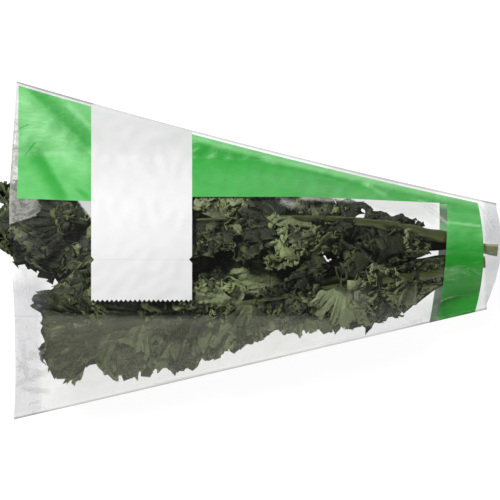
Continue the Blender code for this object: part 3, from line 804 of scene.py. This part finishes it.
def film_folds(x, y, height, upper):
    """How far the film stands off its smooth shape: long pleats that gather towards the neck, slack
    diagonal folds over the empty corner, ripples at the mouth, small crumples everywhere, and in
    the upper film the single folds of the table, each a soft ridge about its line. Where it dips
    towards the leaves it stays within the greatest dent, by a tanh."""
    t = np.clip((x - MOUTH_X) / (NECK_X - MOUTH_X), 0, 1)
    low, high = edge_lines(x)
    across = (y - low) / (high - low)
    drift = 0.4 * np.sin(PLEAT_DRIFT * x)
    pleats = np.sin(2 * math.pi * (across * PLEATS + drift)) * ramp(t, 0.62, 0.95)
    empty = ramp(y, 0.055, 0.09) * (1 - ramp(x, -0.09, 0.02))
    uneven = 0.5 * wander(x, y, 0.09, 21)
    diagonal = empty * np.sin(2 * math.pi * ((y + 0.75 * x) / DIAGONAL_PITCH + uneven))
    mouth = np.sin(2 * math.pi * across * MOUTH_WAVES + 1.0) * (1 - ramp(t, 0.0, 0.16))
    crumple = 1 - np.abs(wander(x, y, 0.030, 22)) * 1.6
    creases = 1 - np.abs(wander(x * 0.6, y, 0.016, 23)) * 1.6
    total = sum(share * fold for share, fold in zip(
        FOLD_SHARES, (pleats, diagonal, mouth, crumple, creases)))
    bent = 0.0
    for start, end, width, rise, _ in FOLDS:
        run = np.hypot(end[0] - start[0], end[1] - start[1])
        way = ((end[0] - start[0]) / run, (end[1] - start[1]) / run)
        along = (x - start[0]) * way[0] + (y - start[1]) * way[1]
        off = (y - start[1]) * way[0] - (x - start[0]) * way[1]
        bent = bent + rise * (1 - ramp(np.abs(off), 0, 1.4 * width)) * ramp(
            along, -width, width) * (1 - ramp(along, run - width, run + width))
    slack = ramp(np.minimum(y - low, high - y), 0.0, 0.02)
    stands = slack * (height * total + (bent if upper else 0.0))
    most = MOST_DENT * (1 - 0.7 * ramp(x, 0.12, 0.16))
    return np.where(stands < 0, -most * np.tanh(-stands / most), stands)


def film_skins(stations, across, thickness, height):
    """The film's four skins as grids: under and over outside, then under and over inside. The
    outer ones run on over the two welded seams."""
    t, s = np.meshgrid(np.linspace(0, 1, stations), np.linspace(0, 1, across), indexing="ij")
    mouth = MOUTH_X + MOUTH_RIPPLE * np.sin(7.0 * s)
    neck = NECK_X - NECK_SLANT * (2 * s - 1.3) ** 2
    x = mouth + (neck - mouth) * t
    low, high = edge_lines(x)
    y = low + SEAM + (high - low - 2 * SEAM) * s
    outer, inner = [], []
    for number, z in enumerate(film_heights(x, y)):
        smooth = np.stack([x, y, z], -1)
        facing, _, _ = surface_frame(smooth)
        facing = facing * np.where(facing[..., 2:] < 0, -1.0, 1.0)
        sheet = smooth
        if number:
            sheet = smooth + facing * film_folds(x, y, height, True)[..., None]
        facing, _, _ = surface_frame(sheet)
        facing = facing * np.where(facing[..., 2:] < 0, -1.0, 1.0)
        inner.append(sheet)
        outer.append(sheet + facing * (thickness if number else -thickness))
    wide = []
    for number, skin in enumerate(outer):
        columns = []
        for column, limit in ((0, low), (-1, high)):
            weld = (inner[0][:, column, 2] + inner[1][:, column, 2]) / 2
            weld = weld + (thickness if number else -thickness)
            columns.append(np.stack([x[:, column], limit[:, column], weld], -1)[:, None])
        wide.append(np.concatenate([columns[0], skin, columns[1]], axis=1))
    return wide, inner


def build_sleeve(settings, material):
    """The film sleeve as one closed shell: outer and inner skins joined by a thin lip round the
    mouth and round the neck, and by the seams along both sides."""
    outer, inner = film_skins(settings.stations, settings.across, settings.thickness,
                              settings.fold_height)
    numbers, start = [], 0
    for skin in (*outer, *inner):
        count = skin.shape[0] * skin.shape[1]
        numbers.append(start + np.arange(count).reshape(skin.shape[:2]))
        start += count
    under, over, under_in, over_in = numbers
    faces = [grid_cells(under)[:, ::-1], grid_cells(over), grid_cells(under_in),
             grid_cells(over_in)[:, ::-1]]

    def strip(first, second):
        return grid_cells(np.stack([first, second], 1))

    faces.append(strip(under[:, 0], over[:, 0]))
    faces.append(strip(under[:, -1], over[:, -1])[:, ::-1])
    faces.append(strip(under_in[:, 0], over_in[:, 0])[:, ::-1])
    faces.append(strip(under_in[:, -1], over_in[:, -1]))
    for row, flip in ((0, 1), (-1, -1)):
        faces.append(strip(under[row, 1:-1], under_in[row])[:, ::-flip])
        faces.append(strip(over_in[row], over[row, 1:-1])[:, ::-flip])
        for edge, corner, inside, turn in ((0, 1, 0, 1), (-1, -2, -1, -1)):
            faces.append(np.array([[under[row, edge], under[row, corner], under_in[row, inside],
                                    over_in[row, inside]]])[:, ::-flip * turn])
            faces.append(np.array([[under[row, edge], over_in[row, inside], over[row, corner],
                                    over[row, edge]]])[:, ::-flip * turn])
    vertices = np.concatenate([skin.reshape(-1, 3) for skin in (*outer, *inner)])
    faces = np.concatenate(faces)
    on_top = np.concatenate([np.full(skin.shape[0] * skin.shape[1], float(n % 2))
                             for n, skin in enumerate((*outer, *inner))])
    outside = np.concatenate([np.full(skin.shape[0] * skin.shape[1], float(n < 2))
                              for n, skin in enumerate((*outer, *inner))])
    plan = vertices[:, :2]
    return mesh_object("sleeve", vertices, [faces], {"on_top": on_top, "outside": outside},
                       [plan[faces]], [material])


class Wire:
    """A shader socket whose arithmetic adds Math nodes to its material."""

    def __init__(self, sheet, node, output=0):
        self.sheet, self.node, self.socket = sheet, node, node.outputs[output]

    def port(self, name):
        """Another output of the same node."""
        return Wire(self.sheet, self.node, name)

    def math(self, operation, *values):
        return self.sheet.add("ShaderNodeMath", {"operation": operation}, *values)

    def __add__(self, other):
        return self.math("ADD", self, other)

    __radd__ = __add__

    def __sub__(self, other):
        return self.math("SUBTRACT", self, other)

    def __rsub__(self, other):
        return self.math("SUBTRACT", other, self)

    def __mul__(self, other):
        return self.math("MULTIPLY", self, other)

    __rmul__ = __mul__

    def __truediv__(self, other):
        return self.math("DIVIDE", self, other)

    def __rtruediv__(self, other):
        return self.math("DIVIDE", other, self)

    def __gt__(self, other):
        return self.math("GREATER_THAN", self, other)

    def __lt__(self, other):
        return self.math("LESS_THAN", self, other)

    def either(self, other):
        """The greater of the two."""
        return self.math("MAXIMUM", self, other)

    def least(self, other):
        """The smaller of the two."""
        return self.math("MINIMUM", self, other)

    def size(self):
        """The value without its sign."""
        return self.math("ABSOLUTE", self)

    def fade(self, start, end):
        """Eased rise from 0 at start to 1 at end, and a fall where start is the greater."""
        return self.sheet.add("ShaderNodeMapRange", {"interpolation_type": "SMOOTHSTEP"}, self,
                              start, end)


class Paint:
    """A material under construction: add() makes any node, shader() closes it."""

    def __init__(self, name):
        self.material = bpy.data.materials.new(name)
        self.material.use_nodes = True
        self.tree = self.material.node_tree
        self.tree.nodes.clear()

    def add(self, kind, settings=None, *values, **named):
        """A node of a kind, its settings first, then values or wires for its sockets in order or
        by name (spaces as underscores); gives its first output."""
        node = self.tree.nodes.new(kind)
        for key, value in (settings or {}).items():
            setattr(node, key, value)
        pairs = list(enumerate(values)) + [(k.replace("_", " "), v) for k, v in named.items()]
        for key, value in pairs:
            self.feed(node.inputs[key], value)
        return Wire(self, node) if node.outputs else None

    def feed(self, socket, value):
        """Links a wire to the socket, or sets a number or colour on it."""
        if isinstance(value, Wire):
            self.tree.links.new(value.socket, socket)
        else:
            socket.default_value = value

    def place(self):
        """Place in the object's own frame, in metres."""
        return self.add("ShaderNodeTexCoord").port("Object")

    def value_of(self, attribute):
        """Value of an attribute of the mesh."""
        return self.add("ShaderNodeAttribute", {"attribute_name": attribute}).port("Fac")

    def noise(self, where, scale, detail=3.0, roughness=0.5, distortion=0.0):
        """Cloudy noise from 0 to 1, with so many waves a metre."""
        return self.add("ShaderNodeTexNoise", {"noise_dimensions": "3D"}, Vector=where, Scale=scale,
                        Detail=detail, Roughness=roughness, Distortion=distortion)

    def blend(self, factor, first, second):
        """Colour from first at factor 0 to second at 1."""
        node = self.add("ShaderNodeMix", {"data_type": "RGBA"}).node
        for socket, value in ((0, factor), (6, first), (7, second)):
            self.feed(node.inputs[socket], value)
        return Wire(self, node, 2)

    def stretch(self, where, scale):
        """The place multiplied by the scale, axis by axis."""
        return self.add("ShaderNodeMapping", {"vector_type": "POINT"}, Vector=where, Scale=scale)

    def soft_line(self, x, y, start, end, width, slow=1.0):
        """1 along the line from start to end, eased to 0 at the width on its right and past its
        ends, and at slow times the width on its left."""
        run = math.dist(start, end)
        way = ((end[0] - start[0]) / run, (end[1] - start[1]) / run)
        along = (x - start[0]) * way[0] + (y - start[1]) * way[1]
        off = (y - start[1]) * way[0] - (x - start[0]) * way[1]
        return (off.fade(-width, 0.0) * off.fade(slow * width, 0.0) * along.fade(-width, width)
                * along.fade(run + width, run - width))

    def triangle_wave(self, along, pitch):
        """From -1 to 1 and back once in each pitch."""
        turns = along / pitch
        return ((turns.math("FRACT", turns) - 0.5).size() - 0.25) * 4

    def shader(self, **named):
        """The Principled shader with these sockets, wired to the output."""
        surface = self.add("ShaderNodeBsdfPrincipled", None, **named)
        self.add("ShaderNodeOutputMaterial", None, Surface=surface)
        return self.material

    def bump(self, height, strength, distance):
        """Normal of a surface raised by the height times the distance, in metres."""
        return self.add("ShaderNodeBump", None, Height=height, Strength=strength, Distance=distance)


def kale_blade_paint(settings):
    """Dull grey-green leaf that turns from dark to light lobe by lobe, with painted shade near the
    rib of the darker lobes, deep in the bunch; paler beneath, with thin pale veins, fine puckers and
    yellower, paler curls, partly their own colour and partly painted light through their thin
    margins."""
    paint = Paint("kale_blade")
    place = paint.place()
    vein, rim, under, tone = (paint.value_of(n) for n in ("vein", "rim", "under", "tone"))
    broad = paint.noise(place, 24, 2.0)
    mottle = paint.noise(place, 170, 4.0, 0.6)
    # the last term is painted shade: darker nearer the rib on darker lobes, deep in the bunch
    share = (tone * 1.25 + (broad - 0.5) * 1.4 + (mottle - 0.5) * 0.7 - 0.56
             - (1 - rim) * (1 - tone) * 0.40)
    base = paint.blend(share.fade(0.0, 1.0), (*settings.dark_green, 1), (*settings.light_green, 1))
    pale = paint.blend(under * 0.5 * share.fade(0.1, 0.9), base, (*settings.under_green, 1))
    # curled margins: yellower, and paler as painted light through their thin edges
    curled = paint.blend(rim.fade(0.80, 1.0) * (0.15 + 0.6 * tone), pale, CURL_YELLOWER_AND_LIT)
    veined = paint.blend(vein.fade(0.15, 0.9) * (0.15 + tone * 0.5), curled,
                         (*settings.rib_green, 1))
    cells = paint.add("ShaderNodeTexVoronoi", {"feature": "DISTANCE_TO_EDGE"}, Vector=place,
                      Scale=260.0)
    pucker = (cells.least(0.35) * 1.2 + mottle * 1.2 + paint.noise(place, 620, 3.0) * 0.4
              + paint.noise(place, 95, 3.0, 0.55, 0.6) * 3.0)
    return paint.shader(
        Base_Color=veined, Roughness=0.44 + mottle * 0.30,
        Normal=paint.bump(pucker, 0.6, 0.0012), Specular_IOR_Level=0.3)


def kale_stem_paint(settings):
    """Olive stem with lengthwise pale streaks, paler and yellower over its last centimetre, partly
    its own paler colour and partly painted light that lifts it out of the ring's shadow, with a pale
    yellow line along one side there, and a pale cut face."""
    paint = Paint("kale_stem")
    spot = paint.add("ShaderNodeTexCoord").port("UV")
    along = paint.add("ShaderNodeSeparateXYZ", None, paint.place()).port("X")
    around = paint.add("ShaderNodeSeparateXYZ", None, spot).port("Y")
    streaks = paint.noise(paint.stretch(spot, (14.0, 9.0, 1.0)), 4.0, 4.0, 0.6)
    fibres = paint.noise(paint.stretch(spot, (30.0, 60.0, 1.0)), 3.0, 2.0)
    tone = paint.blend(streaks.fade(0.35, 0.68), (*settings.stem_green, 1), (*settings.stem_pale, 1))
    # the last centimetre: paler, partly painted light against the shadow of the ring
    trimmed = along.fade(*TRIMMED_X)
    tone = paint.blend(trimmed, tone, TRIMMED_PALER_AND_LIT)
    tone = paint.blend(trimmed * around.fade(*TRIMMED_AROUND), tone, TRIMMED_YELLOW)
    cut_tone = paint.blend(paint.value_of("cut"), tone, CUT_GREEN)
    return paint.shader(
        Base_Color=cut_tone, Roughness=0.34 + streaks * 0.2,
        Normal=paint.bump(fibres, 0.35, 0.0005), Specular_IOR_Level=0.5)


FilmMap = namedtuple("FilmMap", "paint x y real_x from_high from_low on_top outside crumple haze "
                                "streak broken")


def film_map(paint):
    """Where a point of the film lies: its place in the print as the camera sees it, its real place
    along X, its distance from either welded edge, the skin it is on, and four noises."""
    place = paint.place()
    axes = paint.add("ShaderNodeSeparateXYZ", None, place)
    real_x, real_y = axes.port("X"), axes.port("Y")
    enlarged = PRINT_DISTANCE / (CAMERA_HEIGHT - axes.port("Z"))
    t = (real_x - MOUTH_X) / (NECK_X - MOUTH_X)
    upper_edge = (MOUTH_HALF_WIDTH + (NECK_HIGH - MOUTH_HALF_WIDTH) * t
                  - 4 * EDGE_BOW * t * (1 - t))
    lower_edge = (NECK_LOW + MOUTH_HALF_WIDTH) * t - MOUTH_HALF_WIDTH
    return FilmMap(
        paint=paint, x=(real_x - CAMERA_X) * enlarged + CAMERA_X, y=real_y * enlarged,
        real_x=real_x, from_high=upper_edge - real_y, from_low=real_y - lower_edge,
        on_top=paint.value_of("on_top"), outside=paint.value_of("outside"),
        crumple=paint.noise(place, 34, 5.0, 0.62, 0.8),
        haze=paint.noise(paint.stretch(place, (1.0, 1.6, 1.0)), 14, 3.0, 0.5, 1.2),
        streak=paint.noise(paint.stretch(place, (1.0, 3.0, 1.0)), 60, 4.0, 0.6, 1.5),
        broken=paint.noise(place, 95, 3.0, 0.55, 1.0))


def above_line(film, foot, slope):
    """Height over the line of that slope through the foot, in the print."""
    return film.y - foot[1] - (film.x - foot[0]) * slope


def print_masks(film):
    """Where the green ink, the panel and its dotted line lie, each 1 there and 0 elsewhere: the band
    above its border, the ring between two parabolas, and the panel with its zigzag foot."""
    paint, x, y, on_top = film.paint, film.x, film.y, film.on_top
    border = (BAND_LOW - BAND_FALL * (x - BAND_BEND_X).either(0)
              - (x < LEFT_PART_X) * (LEFT_DROP + LEFT_SLANT * (x - LEFT_END_X)))
    band = (y > border) * (x < BAND_END_X)
    from_start = y - RING_START_Y
    ring_start = RING_START_X - from_start * from_start - RING_BACK_SHIFT * (1 - on_top)
    from_end = y - RING_END_Y
    ring_end = RING_END_X - RING_END_BOW * from_end * from_end
    ring = (x > ring_start) * (x < ring_end)
    inside_rim = (film.from_high > BARE_EDGE) * (film.real_x > MOUTH_X + BARE_MOUTH)
    green = band.either(ring) * inside_rim * (x < ring_end)
    from_dots = (y - DOTTED_Y).size()
    zigzag = ZIGZAG_HEIGHT * paint.triangle_wave(x, ZIGZAG_PITCH)
    notch = (NOTCH_HALF_WIDTH - from_dots).either(0) * NOTCH_DEPTH
    panel = ((x > PANEL_LEFT + notch) * (x < PANEL_RIGHT - notch) * (y > PANEL_LOW + zigzag)
             * (film.from_high > PANEL_MARGIN))
    dots = ((from_dots < DOT_HALF_HEIGHT) * (paint.triangle_wave(x, DOT_PITCH) > 0.0)
            * ((x - DOTTED_MIDDLE).size() < DOTTED_HALF_LENGTH))
    return green, panel, dots


def fold_highlights_and_shade(film):
    """How strongly the painted highlights on the pale folds and the painted shade in the dark folds
    of the table show, each from 0 to 1.
    """
    pale, dark = 0.0, 0.0
    for start, end, width, _, shade in FOLDS:
        slow = SLOW_FADE if width > BROAD_FOLD else 1.0
        uneven = film.y + (film.broken - 0.5) * width * 1.2
        mark = film.paint.soft_line(film.x, uneven, start, end, width, slow) * abs(shade)
        if shade > 0:
            pale = mark.either(pale)
        else:
            dark = mark.either(dark)
    return pale, dark


def ink_tone(film, settings, panel, dots, pale, dark):
    """Colour of the print. The band has a painted sheen towards the mouth, painted light on the top
    of the ring, painted highlights in crumples along the upper edge and on pale folds, and painted
    light on the back ply where that lies in shade; it is paler along its right part and uneven in
    streaks, and painted shade deepens it in dark folds and low on the ring. The panel is a plain
    pale grey, darker on its dotted line and a little towards the upper edge."""
    paint, x, y, from_high = film.paint, film.x, film.y, film.from_high
    on_ring = x.fade(0.165, 0.175)
    # painted sheen on the band towards the mouth, more of it near the top
    painted_sheen = ((film.haze.fade(0.42, 0.66) * 0.3 + 0.6) * x.fade(-0.10, -0.16)
             * (0.6 + y.fade(0.06, 0.12) * 0.4))
    # the band's right part is paler; painted light on the top of the ring and painted highlights in
    # crumples along the upper edge
    paler_and_highlit = (x.fade(0.04, 0.12) * x.fade(0.185, 0.165) * 0.28 + on_ring * y.fade(-0.002, 0.010) * 0.22
            + from_high.fade(0.011, 0.006) * x.fade(-0.08, -0.05) * (0.35 + film.crumple * 0.4))
    # share of the paler band colour: painted sheen and highlights, uneven streaks, the paler right
    # part, and painted light on the back ply's band in its shade; painted shade in dark folds takes
    # it away
    pale_lit_share = (painted_sheen * 0.75 + paler_and_highlit + pale * 0.75 + (film.streak - 0.5) * 0.4 + 0.02
                   + 0.4 * (1 - film.on_top)).least(1) * (1 - dark)
    green_tone = paint.blend(pale_lit_share, (*settings.band_green, 1), (*settings.band_pale_lit, 1))
    # painted shade low on the ring and in dark folds
    painted_shade_share = (on_ring * y.fade(0.022, -0.018) * 0.95 + dark * 0.35).least(0.95)
    green_tone = paint.blend(painted_shade_share, green_tone, (*settings.band_shaded, 1))
    paper = paint.blend(dots * 0.8 + from_high.fade(0.016, 0.002) * 0.12,
                        (*settings.panel_tint, 1), DOT_GREY)
    return paint.blend(panel, green_tone, paper)


def clear_film(film, settings, pale, dark):
    """Colour, cover and edge line of the film where nothing is printed: a faint veil, and more of
    it where the film lies double or folded, on patches in the lower left corner, along the lower
    strip and margin, past the ring, on the flap under the band's left end and by the panel.
    Painted glints on pale folds and faint streaks, and crumpled patches in the corner and a
    wedge by the panel, turn it milky, and painted shade in dark folds thickens the veil."""
    paint, x, y = film.paint, film.x, film.y
    crumple, broken, haze, streak = film.crumple, film.broken, film.haze, film.streak
    strip = (y + (crumple - 0.5) * 0.008).fade(*STRIP_Y) * x.fade(*STRIP_X)
    corner = x.fade(*CORNER_X) * y.fade(*CORNER_Y)
    margin = film.from_low.fade(*LOW_MARGIN)
    neck_film = x.fade(*NECK_FILM_X)
    ragged = x + (broken - 0.5) * 0.030 + (crumple - 0.5) * 0.020
    over_flap = above_line(film, FLAP_FOOT, FLAP_SLOPE) + (crumple - 0.5) * 0.004
    flap = ragged.fade(*FLAP_X) * over_flap.fade(-0.0006, 0.0006)
    for crease in FLAP_CREASES:
        flap = flap.either(paint.soft_line(ragged, y, *crease))
    gap = (x.fade(*GAP_START_X) * x.fade(*GAP_END_X)
           * above_line(film, GAP_FOOT, GAP_SLOPE).fade(-0.002, 0.003))
    patch = paint.soft_line(x, y, *PATCH_LINE).fade(0.30, 0.36)
    over_wedge = above_line(film, WEDGE_FOOT, WEDGE_SLOPE) + (broken - 0.5) * 0.004
    wedge = over_wedge.fade(-0.001, 0.003) * (x < WEDGE_END_X)
    from_edge = film.from_low.least(film.from_high).least(film.real_x - MOUTH_X + LIP)
    edge = from_edge.fade(*EDGE_LINE)

    # painted glints on pale folds and faint streaks; milky crumpled patches in the corner and a wedge
    # by the panel
    glints_and_milky = (pale * 0.75).either(streak.fade(0.66, 0.80) * 0.35)
    glints_and_milky = glints_and_milky.either(corner * broken.fade(0.56, 0.70) * 0.55).either(wedge * 0.7)
    shaded = corner.either(strip * 0.62).either(margin * 0.55).either(neck_film * 1.1)
    shaded = shaded.either(patch * 0.5).either(gap * 0.5)
    # painted shade: the veil thickens in dark folds, besides the film's own haze and patches
    veil = (settings.veil + shaded * settings.haze * (0.7 + haze * 0.6) + wedge * 0.35
            + flap * (0.30 + broken.fade(0.35, 0.65) * 0.5) + haze.fade(0.5, 0.8) * 0.07
            + paint.soft_line(x, y, *STRIP_CREASE) * 0.10 + dark * 0.25).least(0.95)
    cover = ((veil + glints_and_milky * 0.5 + edge * 0.30) * film.on_top
             + (0.03 + edge * 0.2) * (1 - film.on_top))

    grey = paint.blend(corner.either(neck_film), (*settings.film_tint, 1), CORNER_GREY)
    grey = paint.blend(strip * (1 - corner), grey, STRIP_GREY)
    grey = paint.blend(flap, grey, FLAP_GREY)
    return paint.blend(glints_and_milky, grey, MILKY_GLINT), cover, edge


def film_paint(settings):
    """Clear glossy film: nearly nothing of it shows but its sheen and a faint veil, apart from the
    printed band and panel, which cover it, and the darker line of its edges."""
    paint = Paint("film")
    film = film_map(paint)
    green, panel, dots = print_masks(film)
    # painted highlights on the pale folds and painted shade in the dark folds
    pale, dark = fold_highlights_and_shade(film)
    milky, cover, edge = clear_film(film, settings, pale, dark)
    printed = (green.either(panel) * film.on_top
               + green * (1 - panel) * (1 - film.on_top)) * film.outside
    inked = paint.blend(printed, milky, ink_tone(film, settings, panel, dots, pale, dark))
    colour = paint.blend(edge * 0.8 * (1 - printed), inked, EDGE_GREY)
    # the ink hides a little less under a painted highlight on a pale fold
    alpha = (cover * (1 - printed) + printed * (settings.ink_cover + panel * 0.2 - pale * 0.05)
             ).least(0.995) * (0.1 + 0.9 * film.outside)
    wrinkle = (film.crumple + film.streak * 0.35) * (1 - printed * (0.35 + 0.6 * panel))
    dull = printed * (0.14 + film.x.fade(-0.10, -0.16) * 0.1 + panel * 0.36)
    return paint.shader(
        Base_Color=colour, Metallic=0.0, Roughness=0.20 + film.haze * 0.14 + dull,
        Alpha=alpha, Normal=paint.bump(wrinkle, 0.55, 0.004), Specular_IOR_Level=0.5)


class KaleLeafSettings(bpy.types.PropertyGroup):
    """Sizes and colours of the leafy stems."""
    curl: FloatProperty(name="Curl", description="Height of the curls, 1 as on the bunch",
                        default=1.0, min=0.0, max=1.5)
    thickness: FloatProperty(name="Blade thickness", description="Thickness of the leaf blade",
                             default=0.0004, min=0.0001, max=0.002, subtype="DISTANCE",
                             unit="LENGTH", precision=4)
    stem_rings: IntProperty(name="Stem rings", description="Rings along a stem and its rib",
                            default=90, min=10, max=300)
    dark_green: FloatVectorProperty(name="Dark green", description="Deepest leaf colour",
                                    subtype="COLOR", default=(0.014, 0.020, 0.007), min=0, max=1)
    light_green: FloatVectorProperty(name="Light green", description="Leaf colour where it is lit",
                                     subtype="COLOR", default=(0.335, 0.400, 0.190), min=0, max=1)
    under_green: FloatVectorProperty(name="Underside", description="Colour of a leaf's underside",
                                     subtype="COLOR", default=(0.210, 0.245, 0.135), min=0, max=1)
    rib_green: FloatVectorProperty(name="Veins", description="Colour of ribs and veins",
                                   subtype="COLOR", default=(0.300, 0.350, 0.150), min=0, max=1)
    stem_green: FloatVectorProperty(name="Stem", description="Colour of the stems",
                                    subtype="COLOR", default=(0.028, 0.042, 0.005), min=0, max=1)
    stem_pale: FloatVectorProperty(name="Stem streaks", description="Pale streaks along the stems",
                                   subtype="COLOR", default=(0.078, 0.098, 0.018), min=0, max=1)


class FilmSleeveSettings(bpy.types.PropertyGroup):
    """Sizes and colours of the film sleeve."""
    thickness: FloatProperty(name="Film thickness", description="Thickness of the film",
                             default=0.0002, min=0.00005, max=0.001, subtype="DISTANCE",
                             unit="LENGTH", precision=5)
    fold_height: FloatProperty(name="Fold height", description="Height of the film's folds",
                               default=0.0011, min=0.0, max=0.003, subtype="DISTANCE",
                               unit="LENGTH", precision=4)
    stations: IntProperty(name="Stations", description="Rows of the film along its length",
                          default=150, min=20, max=400)
    across: IntProperty(name="Across", description="Points across each side of the film",
                        default=74, min=20, max=300)
    film_tint: FloatVectorProperty(name="Film", description="Tint of the clear film",
                                   subtype="COLOR", default=(0.135, 0.130, 0.118), min=0, max=1)
    band_green: FloatVectorProperty(name="Band", description="Colour of the printed band",
                                    subtype="COLOR", default=(0.028, 0.400, 0.045), min=0, max=1)
    # paler band colour: mostly painted sheen, painted highlights and painted light, and the paler
    # right part
    band_pale_lit: FloatVectorProperty(name="Band, pale and lit", description="Band colour where it is paler",
                                    subtype="COLOR", default=(0.250, 0.700, 0.260), min=0, max=1)
    # painted shade: the band's colour in shade low on the ring and in dark folds
    band_shaded: FloatVectorProperty(name="Band, deep", description="Band colour low on the neck",
                                   subtype="COLOR", default=(0.009, 0.265, 0.009), min=0, max=1)
    panel_tint: FloatVectorProperty(name="Panel", description="Colour of the plain printed panel",
                                    subtype="COLOR", default=(0.72, 0.72, 0.72), min=0, max=1)
    ink_cover: FloatProperty(name="Ink cover", description="How much the band hides", default=0.90,
                             min=0, max=1, subtype="FACTOR")
    veil: FloatProperty(name="Veil", description="How much the clear film hides", default=0.04,
                        min=0, max=1, subtype="FACTOR")
    haze: FloatProperty(name="Haze", description="How much more it hides where it lies double",
                        default=0.30, min=0, max=1, subtype="FACTOR")


class KaleStudioSettings(bpy.types.PropertyGroup):
    """The floor, the lights and the camera."""
    height: FloatProperty(name="Camera height", description="Height of the camera over the floor",
                          default=CAMERA_HEIGHT, min=0.5, max=20, subtype="DISTANCE",
                          unit="LENGTH")
    field: FloatProperty(name="Field", description="Width of the picture at the bunch",
                         default=0.4618, min=0.1, max=2, subtype="DISTANCE", unit="LENGTH")
    key_power: FloatProperty(name="Key light", description="Power of the main soft light",
                             default=25.0, min=0, max=500, unit="POWER")
    sky: FloatProperty(name="Sky", description="Strength of the even light from all round",
                       default=0.07, min=0, max=5)


class OBJECT_OT_kale_leaves(bpy.types.Operator):
    """Make the ten curly kale leaves on their stems"""
    bl_idname = "object.kale_leaves"
    bl_label = "Kale Leaves"

    def execute(self, context):
        settings = context.scene.kale_leaves
        paints = (kale_blade_paint(settings), kale_stem_paint(settings))
        for leaf in LEAVES:
            piece = build_leaf(leaf, settings, paints)
            piece.name = "kale_" + leaf.name
            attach(piece, "root")
            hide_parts(leaf.name)
        return {"FINISHED"}


class OBJECT_OT_film_sleeve(bpy.types.Operator):
    """Make the printed film sleeve round the leaves"""
    bl_idname = "object.film_sleeve"
    bl_label = "Film Sleeve"

    def execute(self, context):
        settings = context.scene.film_sleeve
        piece = build_sleeve(settings, film_paint(settings))
        piece.name = "film_sleeve"
        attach(piece, "root")
        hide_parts("sleeve")
        return {"FINISHED"}


def soft_light(name, spot, size, power):
    """White area light at a spot, turned to the origin."""
    lamp = bpy.data.lights.new(name, "AREA")
    lamp.shape = "RECTANGLE"
    lamp.size, lamp.size_y = size
    lamp.energy = power
    light = bpy.data.objects.new(name, lamp)
    light.location = spot
    light.rotation_euler = Vector(spot).to_track_quat("Z", "Y").to_euler()
    bpy.context.scene.collection.objects.link(light)


class SCENE_OT_kale_studio(bpy.types.Operator):
    """Set up the pale floor, the soft lights and the camera that looks straight down"""
    bl_idname = "scene.kale_studio"
    bl_label = "Studio"

    def execute(self, context):
        settings = context.scene.kale_studio
        scene = context.scene
        scene.view_settings.view_transform = "Standard"
        paint = Paint("floor")
        floor_mesh = bpy.data.meshes.new("floor")
        wide = FLOOR_HALF_WIDTH
        floor_mesh.from_pydata([(-wide, -wide, 0), (wide, -wide, 0), (wide, wide, 0),
                                (-wide, wide, 0)], [], [(0, 1, 2, 3)])
        floor_mesh.materials.append(paint.shader(
            Base_Color=FLOOR_GREY, Roughness=0.9, Specular_IOR_Level=0.0, Emission_Color=WHITE,
            Emission_Strength=FLOOR_GLOW))
        floor = bpy.data.objects.new("floor", floor_mesh)
        floor.location = (0, 0, -FLOOR_DROP)
        scene.collection.objects.link(floor)
        soft_light("key_light", KEY_PLACE, KEY_SIZE, settings.key_power)
        soft_light("fill_light", FILL_PLACE, FILL_SIZE, settings.key_power * FILL_SHARE)
        world = bpy.data.worlds.new("sky")
        world.use_nodes = True
        world.node_tree.nodes["Background"].inputs["Color"].default_value = WHITE
        world.node_tree.nodes["Background"].inputs["Strength"].default_value = settings.sky
        scene.world = world
        lens = bpy.data.cameras.new("camera")
        lens.sensor_width = SENSOR_WIDTH
        lens.lens = SENSOR_WIDTH / settings.field * (settings.height - PRINT_HEIGHT)
        camera = bpy.data.objects.new("camera", lens)
        camera.location = (CAMERA_X, 0.0, settings.height)
        scene.collection.objects.link(camera)
        scene.camera = camera
        return {"FINISHED"}


class VIEW3D_PT_kale_bunch(bpy.types.Panel):
    """Buttons for the pieces of the bunch and for the studio"""
    bl_label = "Kale Bunch"
    bl_idname = "VIEW3D_PT_kale_bunch"
    bl_space_type = "VIEW_3D"
    bl_region_type = "UI"
    bl_category = "Kale"

    def draw(self, context):
        layout = self.layout
        for group, operator in GROUPS:
            box = layout.box()
            settings = getattr(context.scene, group)
            for name in settings.__annotations__:
                box.prop(settings, name)
            box.operator(operator)


GROUPS = (
    ("kale_leaves", "object.kale_leaves"),
    ("film_sleeve", "object.film_sleeve"),
    ("kale_studio", "scene.kale_studio"),
)
SETTINGS = {
    "kale_leaves": KaleLeafSettings,
    "film_sleeve": FilmSleeveSettings,
    "kale_studio": KaleStudioSettings,
}
CLASSES = (KaleLeafSettings, FilmSleeveSettings, KaleStudioSettings, OBJECT_OT_kale_leaves,
           OBJECT_OT_film_sleeve, SCENE_OT_kale_studio, VIEW3D_PT_kale_bunch)


def register():
    for cls in CLASSES:
        bpy.utils.register_class(cls)
    for name, group in SETTINGS.items():
        setattr(bpy.types.Scene, name, PointerProperty(type=group))


def unregister():
    for name in SETTINGS:
        delattr(bpy.types.Scene, name)
    for cls in reversed(CLASSES):
        bpy.utils.unregister_class(cls)


def main():
    """Makes every piece and the stage."""
    register()
    bpy.ops.object.kale_leaves()
    bpy.ops.object.film_sleeve()
    bpy.ops.scene.kale_studio()


if __name__ == "__main__":
    main()
